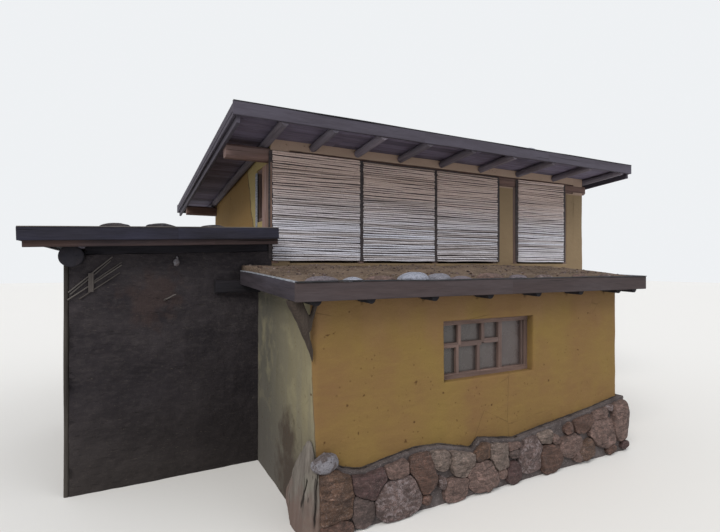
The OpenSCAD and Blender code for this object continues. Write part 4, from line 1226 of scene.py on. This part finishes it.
def build_annex_roof():
    timbers = Shape(random.Random(31))
    dice = timbers.dice
    lo, hi = span("annex_roof_logs")
    front = span("annex_front_fascia")[1].y
    radius = 0.0605
    y0, y1 = front + 0.004, hi.y - 0.1205
    # One log lies against each side wall, and six between them
    beside = radius - 0.0002
    for x in [-beside] + [0.6 + 0.885 * k for k in range(6)] + [span("annex_right_wall")[1].x + beside]:
        a, b = (at(x, y, ANNEX_SEAT + y * ANNEX_FALL - radius) for y in (y0, y1))
        timbers.log(a, b, radius - 0.002)
    high = ANNEX_SEAT + hi.y * ANNEX_FALL
    timbers.bar(at(lo.x, hi.y - 0.12, high - 0.19), at(hi.x, hi.y, high - 0.004), edge=0.02)
    timbers.make("annex_timbers", "dark_log", "log", "annex_roof_logs")

    soffit = Shape(dice)
    lo, hi = span("annex_roof_boards")
    back = Vector((0, 1, ANNEX_FALL)).normalized()
    start = at(lo.x, lo.y, ANNEX_SEAT + lo.y * ANNEX_FALL)
    soffit.boards(start, RIGHT, back, hi.x - lo.x, (hi.y - lo.y) / back.y)
    soffit.make("annex_soffit", "board", "roof_board", "annex_roof_boards")

    high = long_board("annex_front_board", "annex_front_fascia", (0, 0.505, 1), 0.006, "fascia", dice)
    sides = Shape(dice)
    lo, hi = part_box("annex_side_fascias")
    for x in (lo.x + FASCIA_IN, hi.x - FASCIA_IN):
        a, b = Vector((x, lo.y + 0.001, lo.z + high / 2)), Vector((x, hi.y - 0.002, hi.z - high / 2))
        sides.plank(a, b, high, FASCIA, RIGHT, warp=0.005, edge=0.006)
    sides.make("annex_side_boards", "side_fascia", "fascia_board", "annex_side_fascias")


def soil_bed(name, node, seed, lumps=0.035, pebbles=500, cell=0.09):
    """Loose soil in place of a bed: the node's own form, heaped, with pebbles pressed in."""
    bm = from_nodes(node)
    cut_fine(bm, cell)
    lo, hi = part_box(node)
    bm.normal_update()
    tops = [f for f in bm.faces if f.normal.z > 0.5]
    raised = {v for f in tops for v in f.verts}
    rim = {v for v in raised if any(f.normal.z <= 0.5 for f in v.link_faces)}
    for v in raised:
        p = v.co
        heap = lumps * sum(share * wave(p.x * rate, p.y * rate, seed)
                           for rate, share in ((1.6, 1.0), (4.5, 0.6), (12, 0.3)))
        near = min(p.x - lo.x, hi.x - p.x, p.y - lo.y, 1.0)
        v.co.z += heap * (0.25 if v in rim else smooth(-0.1, 0.35, near)) + 0.004
    surface = [f.calc_center_median() for f in tops]
    piece(name, as_mesh(bm, name), "soil", "roof_soil", node, angle=60)

    grit = Shape(random.Random(seed))
    choice, uniform = grit.dice.choice, grit.dice.uniform
    for _ in range(pebbles):
        size = choice((0.018, 0.022, 0.03, 0.045)) * uniform(0.8, 1.3)
        spot = choice(surface) + Vector((uniform(-cell, cell) / 2, uniform(-cell, cell) / 2, size * 0.1))
        spot.x = min(max(spot.x, lo.x + 0.03), hi.x - 0.03)
        spot.y = min(max(spot.y, lo.y + 0.03), hi.y - 0.03)
        grit.stone(spot, (size, size * uniform(0.7, 1), size * uniform(0.5, 0.8)), cuts=1,
                   tint=choice((PINK, PALE, GREY, SAND, GOLDEN)), rough=0.2, flats=2)
    grit.make(name + "_pebbles", "granite", "roof_soil")


# Left end, right end, top and tone of each stone behind the annex front board
EDGE_STONES = ((-0.14, 0.24, 2.888, LILAC), (0.31, 0.55, 2.872, SNOW), (0.58, 0.99, 2.885, PINK),
               (1.03, 1.46, 2.927, SNOW), (1.46, 1.79, 2.907, PALE_BLUE), (1.81, 2.13, 2.87, LILAC),
               (2.24, 2.68, 2.905, PINK), (2.85, 3.10, 2.88, LILAC), (3.35, 3.62, 2.875, PALE),
               (4.15, 4.38, 2.88, PINK), (4.75, 4.95, 2.87, PALE))
# Place, width and top of each flat stone on the mud block
SLATES = ((-1.93, 0.42, 3.565), (-1.385, 0.43, 3.585), (-0.70, 0.38, 3.59))


def build_loose_stones():
    """Stones that hold the soil behind the annex front board, and flat ones on the other roofs."""
    shape = Shape(random.Random(41))
    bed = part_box("annex_front_fascia")[1].z - 0.03
    for x0, x1, top, tone in EDGE_STONES:
        high = (top - bed) * 1.5
        shape.stone(at((x0 + x1) / 2, -0.135, top - high / 2 + 0.004), (x1 - x0 + 0.02, 0.235, high),
                    turn=0.0, tint=tone, rough=0.08)
    shape.make("edge_stones", "granite", "rubble_stone")

    flat = Shape(shape.dice)
    for x, width, top in SLATES:
        flat.stone(at(x, 2.08, top - 0.06), (width, 0.28, 0.12), turn=0.1, tint=SLATE, rough=0.08)
    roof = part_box("main_front_fascia")[1].z
    flat.stone(at(5.05, 1.56, roof), (0.34, 0.3, 0.19), turn=0.0, tint=SNOW, rough=0.06, flats=5)
    flat.make("flat_roof_stones", "granite", "rubble_stone")


def build_brace():
    """The forked branch under the roof corner: its node's form, smoothed and made knotty."""
    bm = from_nodes("corner_brace")
    name = "forked_brace"
    made = piece(name, as_mesh(bm, name), "brace", "weathered_wood", "corner_brace", angle=180)
    remesh = made.modifiers.new("join", "REMESH")
    remesh.mode, remesh.voxel_size, remesh.use_smooth_shade = "VOXEL", 0.009, True
    ease = made.modifiers.new("ease", "SMOOTH")
    ease.iterations, ease.factor = 3, 0.5
    graph = bpy.context.evaluated_depsgraph_get()
    mesh = bpy.data.meshes.new_from_object(made.evaluated_get(graph))
    made.modifiers.clear()
    made.data = mesh
    if not mesh.materials:
        mesh.materials.append(PAINTS["brace"])
    mesh.shade_smooth()
    for v in mesh.vertices:
        v.co += noise.noise_vector(Vector((v.co.x * 30, v.co.y * 30, v.co.z * 7))) * 0.005
    carry(mesh, [v.co for v in mesh.vertices], [0.35] * len(mesh.vertices))


# Mud block

# Height of the seat of the roof's poles at the annex corner
MUD_SEAT = 3.35
MUD_RUN = Vector((1, 0, MUD_FALL)).normalized()


def build_mud_roof(dice):
    """Two plates on the walls, six poles across them, and boards on the poles."""
    shape = Shape(dice)
    pole = 0.045
    lo, hi = span("mud_roof_timbers")
    for y in (span("mud_front_wall")[0].y, span("mud_back_wall")[1].y - 0.14):
        a, b = (at(x, y + 0.07, MUD_SEAT + x * MUD_FALL - 0.065) for x in (-2.295, hi.x - 0.001))
        shape.plank(a, b, 0.138, 0.128, UP, warp=0.004, edge=0.016)
    for x in [-2.674, -2.144] + [-1.714 + 0.43 * k for k in range(4)]:
        z = MUD_SEAT + x * MUD_FALL + pole / math.cos(MUD_TILT) + 0.0003
        shape.log(at(x, lo.y + 0.001, z), at(x, hi.y - 0.001, z), pole - 0.0015, knots=0.04)
    shape.make("mud_timbers", "dark_log", "log", "mud_roof_timbers")

    deck = Shape(dice)
    lo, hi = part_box("mud_roof_boards")
    deck.boards(lo, MUD_RUN, BACK, (hi.x - lo.x) / MUD_RUN.x, hi.y - lo.y, joints=(0.45,))
    deck.make("mud_soffit", "board", "roof_board", "mud_roof_boards")


def build_mud_fascias(dice):
    """A long board on each side, with an edge timber inside it and a strip on top, and the end board."""
    end_lo, end_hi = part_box("mud_left_fascia")
    lo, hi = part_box("mud_long_fascias")
    high, lower = 0.16, 0.12
    fall = (hi.x - lo.x) * MUD_FALL
    start = MUD_RUN * (end_hi.x - end_lo.x + 0.002)
    rim = UP * (high / 2 + 0.005)
    fascia, edge, strip = Shape(dice), Shape(dice), Shape(dice)
    for y, inward in ((lo.y + FASCIA_IN, 1), (hi.y - FASCIA_IN, -1)):
        a, b = Vector((lo.x, y, hi.z - fall - high / 2)), Vector((hi.x - 0.001, y, hi.z - high / 2))
        fascia.run_planks(a, b, (0, 0.56, 1), high)
        shift = BACK * inward * 0.0475 + UP * (lower / 2 - 0.08 - high / 2)
        edge.run_planks(a + shift + start, b + shift, (0, 0.33, 0.71, 1), lower, 0.047, 0.003, 0.008)
        strip.plank(a + rim, b + rim, 0.05, 0.011, UP, warp=0.004, edge=0.002, step=0.2)
    fascia.make("mud_long_boards", "dark_fascia", "fascia_board", "mud_long_fascias")
    edge.make("mud_edge_timbers", "red", "fascia_board")
    strip.make("mud_edge_strips", "pale_wood", "fascia_board")
    left = Shape(dice)
    left.plank(*spine(end_lo, end_hi, 1), end_hi.z - end_lo.z - 0.002, FASCIA, RIGHT, warp=0.005, edge=0.006)
    left.make("mud_left_board", "dark_fascia", "fascia_board", "mud_left_fascia")


def build_mud_logs(dice):
    """The thick log along the top of the left wall, and the post at the front corner."""
    for name, node, axis, paint, slot, radius, taper, sides, knots in (
            ("mud_big_log", "mud_side_log", 1, "dark_log", "log", 0.137, 0.03, 32, 0.035),
            ("mud_post", "mud_corner_post", 2, "grey", "weathered_wood", 0.034, 0.05, 16, 0.07)):
        a, b = spine(*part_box(node), axis)
        b[axis] -= 0.004
        shape = Shape(dice)
        shape.log(a, b, radius, taper, 0.003, sides, knots=knots)
        shape.make(name, paint, slot, node)


def build_mud_timbers():
    dice = random.Random(61)
    build_mud_roof(dice)
    build_mud_fascias(dice)
    build_mud_logs(dice)


# Lower and upper end of each bare cane: inwards from the wall's corner, drop below the poles' seat
LATH_CANES = (((-0.012, 0.693), (0.492, 0.225)), ((0.008, 0.722), (0.470, 0.280)),
              ((-0.020, 0.790), (0.602, 0.336)), ((0.230, 0.590), (0.600, 0.300)),
              ((0.110, 0.782), (0.582, 0.438)))


def build_lath():
    """Bare canes at the top corner of the mud wall, their tie, a white peg and a lump of lime."""
    shape = Shape(random.Random(71))
    lo, hi = span("cane_lath")
    wall_x, y = span("mud_front_wall")[0].x, hi.y - 0.009
    for ends in LATH_CANES:
        a, b = (at(wall_x + x, y, MUD_SEAT - drop) for x, drop in ends)
        shape.log(a, b, 0.0088, taper=0.2, bend=0.002, sides=10, step=0.05, knots=0.1)
    shape.make("bare_canes", "pale_wood", "cane", "cane_lath")

    bits = Shape(shape.dice)
    a, b = (at(wall_x + 0.2455, lo.y + 0.009, MUD_SEAT - drop) for drop in (0.69, 0.446))
    bits.plank(a, b, 0.062, 0.018, BACK, warp=0.006, edge=0.005, step=0.04)
    bits.log(at(-1.335, 2.275, 2.528), at(-1.19, 2.20, 2.60), 0.010, taper=0.3, sides=10, step=0.03)
    bits.stone(at(-1.333, 2.262, 2.520), (0.035, 0.03, 0.035), cuts=3, tint=0.2, rough=0.1)
    bits.make("lath_tie_and_peg", "pale_wood", "cane")

    lump = Shape(shape.dice)
    lump.stone(at(-1.18, 2.258, 3.05), (0.085, 0.06, 0.11), turn=0.0, tint=WHITE, rough=0.12, flats=4)
    lump.stone(at(-1.172, 2.262, 3.105), (0.035, 0.04, 0.075), cuts=3, turn=0.0, tint=WHITE, rough=0.1,
               flats=3)
    lump.make("lime_lump", "granite", "mud_plaster")


# Main block

# Gaps between the canes of a screen
CANE_GAPS = (0.001, 0.003, 0.006, 0.008, 0.010, 0.014)
# Place along y and height of a point on the underside of the roof's logs
MAIN_SEAT = (2.43, 4.85)
# Spacing of the first two logs, and how much it grows from each pair to the next
LOG_PITCH, LOG_GROWTH = 0.77, 0.051
# Upper and lower edge below the roof's upper line, inward shift and thickness of the side boards
SIDE_BOARDS = ((0.0, 0.112, 0.0, 0.043), (0.124, 0.18, 0.0, 0.040), (0.15, 0.27, 0.0475, 0.046))


def cane(shape, a, b, radius):
    """One dry cane: wavy, tapered, swollen at its joints."""
    count = 26
    side, up = across((b - a).normalized())
    dice = shape.dice
    seed = dice.uniform(0, 90)
    pitch = dice.uniform(0.24, 0.33)
    length = (b - a).length
    flip = dice.random() < 0.5
    path = []
    for k in range(count + 1):
        t = k / count
        bow = 0.011 * wave(seed, t * length * 1.5) * math.sin(math.pi * min(1, t * 5 + 0.1) / 2)
        path.append(a.lerp(b, t) + up * bow + side * bow * 0.3)

    def ring_at(k):
        t = k / count
        taper = 1.08 - 0.22 * (1 - t if flip else t)
        knot = 0.13 * math.exp(-((((t * length + seed) / pitch) % 1 - 0.5) / 0.07) ** 2)
        return circle(radius * (taper + knot), 8)
    shape.sweep(path, ring_at, side, up, dice.random())


def build_screens():
    """Each screen is a stack of single canes, bent, of uneven thickness, before a dark sheet that is painted
    shade.
    """
    shade_sheets = Shape(None)
    for n in range(1, 5):
        shape = Shape(random.Random(80 + n))
        shade_sheets.dice = shape.dice
        uniform = shape.dice.uniform
        lo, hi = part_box(f"cane_screen_{n}")
        y = (lo.y + hi.y) / 2
        # The first screen starts a little outside its node
        left, shade_sheet_left = (-0.018, -0.022) if n == 1 else (0.012, 0.0)
        z = lo.z + 0.004
        while True:
            radius = uniform(0.0120, 0.0165) * (1 + 0.08 * (shape.dice.random() < 0.15))
            z += radius
            if z + radius > hi.z - 0.002:
                break
            sag = 0.028 * wave(n * 7.0, z * 2.6) + uniform(-0.004, 0.004)
            sag *= smooth(0, 0.1, min(z - lo.z, hi.z - z))
            x0 = lo.x + left + max(0, uniform(-0.012, 0.014))
            a = Vector((x0, y - 0.002 + uniform(-0.003, 0.003), z + sag))
            x1 = hi.x - 0.012 + min(0, uniform(-0.014, 0.012))
            b = Vector((x1, y - 0.002 + uniform(-0.003, 0.003), z - sag))
            cane(shape, a, b, radius)
            tight = lerp(1.0, 0.6, (z - lo.z) / (hi.z - lo.z))
            z += radius + tight * shape.dice.choice(CANE_GAPS)
        shape.make(f"canes_{n}", "cane", "cane", f"cane_screen_{n}", angle=70)
        middle = (lo.z + hi.z) / 2
        # The dark sheet behind each screen is painted shade; at the first it reaches left over the corner
        # post
        shade_sheets.plank(Vector((lo.x + shade_sheet_left, y + 0.004, middle)), Vector((hi.x, y + 0.004, middle)),
                   hi.z - lo.z - 0.004, 0.004, BACK, warp=0.001, edge=0.001)
    shade_sheets.make("screen_shade_sheets", "mat", "cane")


def build_gallery_timbers():
    """Posts of the gallery, the one at the corner in its own tone, and the plates on both walls."""
    posts = Shape(random.Random(91))
    corner = Shape(posts.dice)
    lo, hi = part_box("gallery_posts")
    xs = sorted({round(v.co.x - CORNER.x, 3) for v in frame["nodes"]["gallery_posts"].data.vertices})
    for x0, x1 in zip(xs[::2], xs[1::2]):
        x0, x1 = CORNER.x + x0, CORNER.x + x1
        shape = posts if x0 > lo.x + 0.01 else corner
        shape.bar(Vector((x0 + 0.001, lo.y + 0.001, lo.z)), Vector((x1 - 0.001, hi.y - 0.001, hi.z)),
                  edge=0.012)
    corner.make("gallery_corner_post", "shutter", "painted_timber")
    posts.make("gallery_uprights", "brown", "painted_timber", "gallery_posts")

    for name, node in (("front_plate", "front_wall_plate"), ("back_plate", "back_wall_plate")):
        plate = Shape(posts.dice)
        lo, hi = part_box(node)
        plate.plank(*spine(lo, hi), hi.y - lo.y - 0.004, hi.z - lo.z - 0.004, UP, warp=0.006, edge=0.035)
        plate.make(name, "plate", "log", node)


def build_main_roof():
    """Logs that lie further apart to the right, boards on them, and the boards round the edge."""
    logs = Shape(random.Random(101))
    dice = logs.dice
    radius = 0.065
    lift = radius / math.cos(MAIN_TILT)
    wall_lo, wall_hi = span("main_left_wall")[0].x, span("main_right_wall")[1].x
    y0, y1 = span("main_front_fascia")[1].y + 0.003, span("main_back_fascia")[0].y - 0.003

    def seat(y):
        return MAIN_SEAT[1] + (MAIN_SEAT[0] - y) * MAIN_FALL
    # The logs beside the side walls touch them
    places = [wall_lo - radius + i * LOG_PITCH + i * (i - 1) / 2 * LOG_GROWTH for i in range(8)]
    for x in places + [wall_hi + radius]:
        a, b = (at(x, y, seat(y) + lift) for y in (y0, y1))
        logs.log(a, b, radius - 0.001, taper=0.03, bend=0.003, sides=20, knots=0.03)
    logs.make("roof_logs", "log", "log", "main_roof_logs")

    deck = Shape(dice)
    lo, hi = span("main_roof_boards")
    cross = Vector((0, 1, -MAIN_FALL)).normalized()
    start = seat(lo.y) + 2 * lift
    deck.boards(at(lo.x, lo.y, start), RIGHT, cross, hi.x - lo.x, (hi.y - lo.y) / cross.y, 0.16,
                (0.27, 0.52, 0.77))
    deck.make("main_soffit", "board", "roof_board", "main_roof_boards")

    for side in ("front", "back"):
        long_board(f"main_{side}_board", f"main_{side}_fascia", (0, 0.36, 0.7, 1), 0.009, "high_fascia", dice)
    sides = Shape(dice)
    lo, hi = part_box("main_side_fascias")
    line = start + BOARD / math.cos(MAIN_TILT) + 0.042
    drop = (hi.y - lo.y) * MAIN_FALL
    for x, inward in ((lo.x + FASCIA_IN, 1), (hi.x - FASCIA_IN, -1)):
        for top, low, shift, thick in SIDE_BOARDS:
            z = line - (top + low) / 2
            a, b = (Vector((x + inward * shift, *end)) for end in ((lo.y, z), (hi.y, z - drop)))
            sides.plank(a, b, low - top, thick, RIGHT, edge=0.006)
    sides.make("main_side_boards", "high_fascia", "fascia_board", "main_side_fascias")


def build_liners():
    """The thin dark sheet that shows over the upper edge of each roof's boards."""
    shape = Shape(random.Random(111))
    for node in ("main_front_fascia", "main_back_fascia", "annex_front_fascia"):
        lo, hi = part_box(node)
        a, b = spine(lo, hi)
        a.z = b.z = hi.z + LINER / 2 - 0.002
        shape.plank(a, b, hi.y - lo.y + 0.012, LINER, UP, warp=0.010, edge=0.003, step=0.15)
    shape.make("roof_liners", "liner", "fascia_board")
    pale = Shape(shape.dice)
    lo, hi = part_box("annex_side_fascias")
    high, rise = hi.z + 0.004, (hi.y - lo.y) * ANNEX_FALL
    for x in (lo.x + FASCIA_IN, hi.x - FASCIA_IN):
        pale.plank(Vector((x, lo.y, high - rise)), Vector((x, hi.y, high)), 0.052, 0.012, UP, warp=0.012,
                   edge=0.002, step=0.12)
    pale.make("side_liners", "pale_liner", "fascia_board")


def build_upper_floor():
    """Boards across, on joists."""
    shape = Shape(random.Random(141))
    lo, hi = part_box("upper_floor")
    top = hi.z - BOARD
    shape.boards(Vector((lo.x, lo.y, top)), BACK, RIGHT, hi.y - lo.y, hi.x - lo.x, 0.19, (0.5,))
    x, z = lo.x + 0.14, top - 0.0715
    while x < hi.x - 0.07:
        shape.log(Vector((x, lo.y + 0.002, z)), Vector((x, hi.y - 0.002, z)), 0.069, sides=14, step=0.4)
        x += 0.7
    shape.make("upper_floor_timbers", "board", "roof_board", "upper_floor")


build_annex_walls()
build_mud_walls()
build_main_walls()
build_plinth()
build_buttress()
build_annex_window()
build_annex_roof()
soil_bed("annex_soil_bed", "annex_soil", 151, pebbles=700)
soil_bed("mud_soil_bed", "mud_soil", 152, lumps=0.02, pebbles=400)
soil_bed("main_soil_bed", "main_soil", 153, pebbles=900, cell=0.13)
build_loose_stones()
build_brace()
build_mud_timbers()
build_lath()
build_screens()
build_gallery_timbers()
build_main_roof()
build_liners()
build_upper_windows()
build_back_door()
build_upper_floor()
for node_name, paint in (("window_glass", "glass"), ("upper_window_glass", "upper_glass")):
    sheet = frame["nodes"][node_name].data
    sheet.materials.clear()
    sheet.materials.append(PAINTS[paint])


# Floor, backdrop, light and camera

def link(name, data):
    made = bpy.data.objects.new(name, data)
    bpy.context.scene.collection.objects.link(made)
    return made


def build_floor():
    """A wide floor just below the ground level."""
    half, z = 90, -0.002
    mesh = bpy.data.meshes.new("stage_floor")
    corners = [(-half, -half, z), (half, -half, z), (half, half, z), (-half, half, z)]
    mesh.from_pydata(corners, [], [(0, 1, 2, 3)])
    mesh.materials.append(Paint("stage_floor", 0.95, 0.1, (0.80, 0.79, 0.77)).done())
    link("stage_floor", mesh)


def build_backdrop():
    """Cool light all round, and a white backdrop for the camera, for mirrors and through glass."""
    world = bpy.data.worlds.new("studio")
    bpy.context.scene.world = world
    world.use_nodes = True
    tree = world.node_tree
    tree.nodes.clear()
    light = node(tree, "Background", {"Color": (0.93, 0.96, 1.0), "Strength": 0.62})
    seen = node(tree, "Background", {"Color": (0.86, 0.88, 0.90)})
    rays = tree.nodes.new("ShaderNodeLightPath").outputs
    direct, glossy, through = (Field(tree, rays[kind]) for kind in
                               ("Is Camera Ray", "Is Glossy Ray", "Is Transmission Ray"))
    share = direct.math("MAXIMUM", glossy).math("MAXIMUM", through)
    output = tree.nodes.new("ShaderNodeOutputWorld")
    give(tree, output.inputs["Surface"], node(tree, "MixShader", {0: share, 1: light, 2: seen}))


def sun(name, strength, spread, azimuth, height, colour):
    """Soft light from an azimuth, where 0 comes from the front and 90 from the left, and a height."""
    lamp = bpy.data.lights.new(name, "SUN")
    lamp.energy, lamp.angle, lamp.color = strength, math.radians(spread), colour
    a, h = math.radians(azimuth), math.radians(height)
    toward = Vector((-math.sin(a) * math.cos(h), -math.cos(a) * math.cos(h), math.sin(h)))
    link(name, lamp).rotation_euler = toward.to_track_quat("Z", "Y").to_euler()


def build_camera():
    """Level camera at the photograph's eye height, to the left of the annex."""
    lens = bpy.data.cameras.new("camera")
    lens.lens, lens.sensor_width = 23.0, 36.0
    camera = link("camera", lens)
    camera.location = at(-1.898, -4.754, 3.0)
    camera.rotation_euler = (math.radians(90), 0, -math.atan2(0.4633, 0.8862))
    bpy.context.scene.camera = camera


build_floor()
build_backdrop()
sun("key", 1.9, 30, 52, 42, (1.0, 0.97, 0.93))
sun("fill", 0.7, 60, -50, 30, (0.95, 0.97, 1.0))
build_camera()
bpy.context.scene.view_settings.view_transform = "Standard"
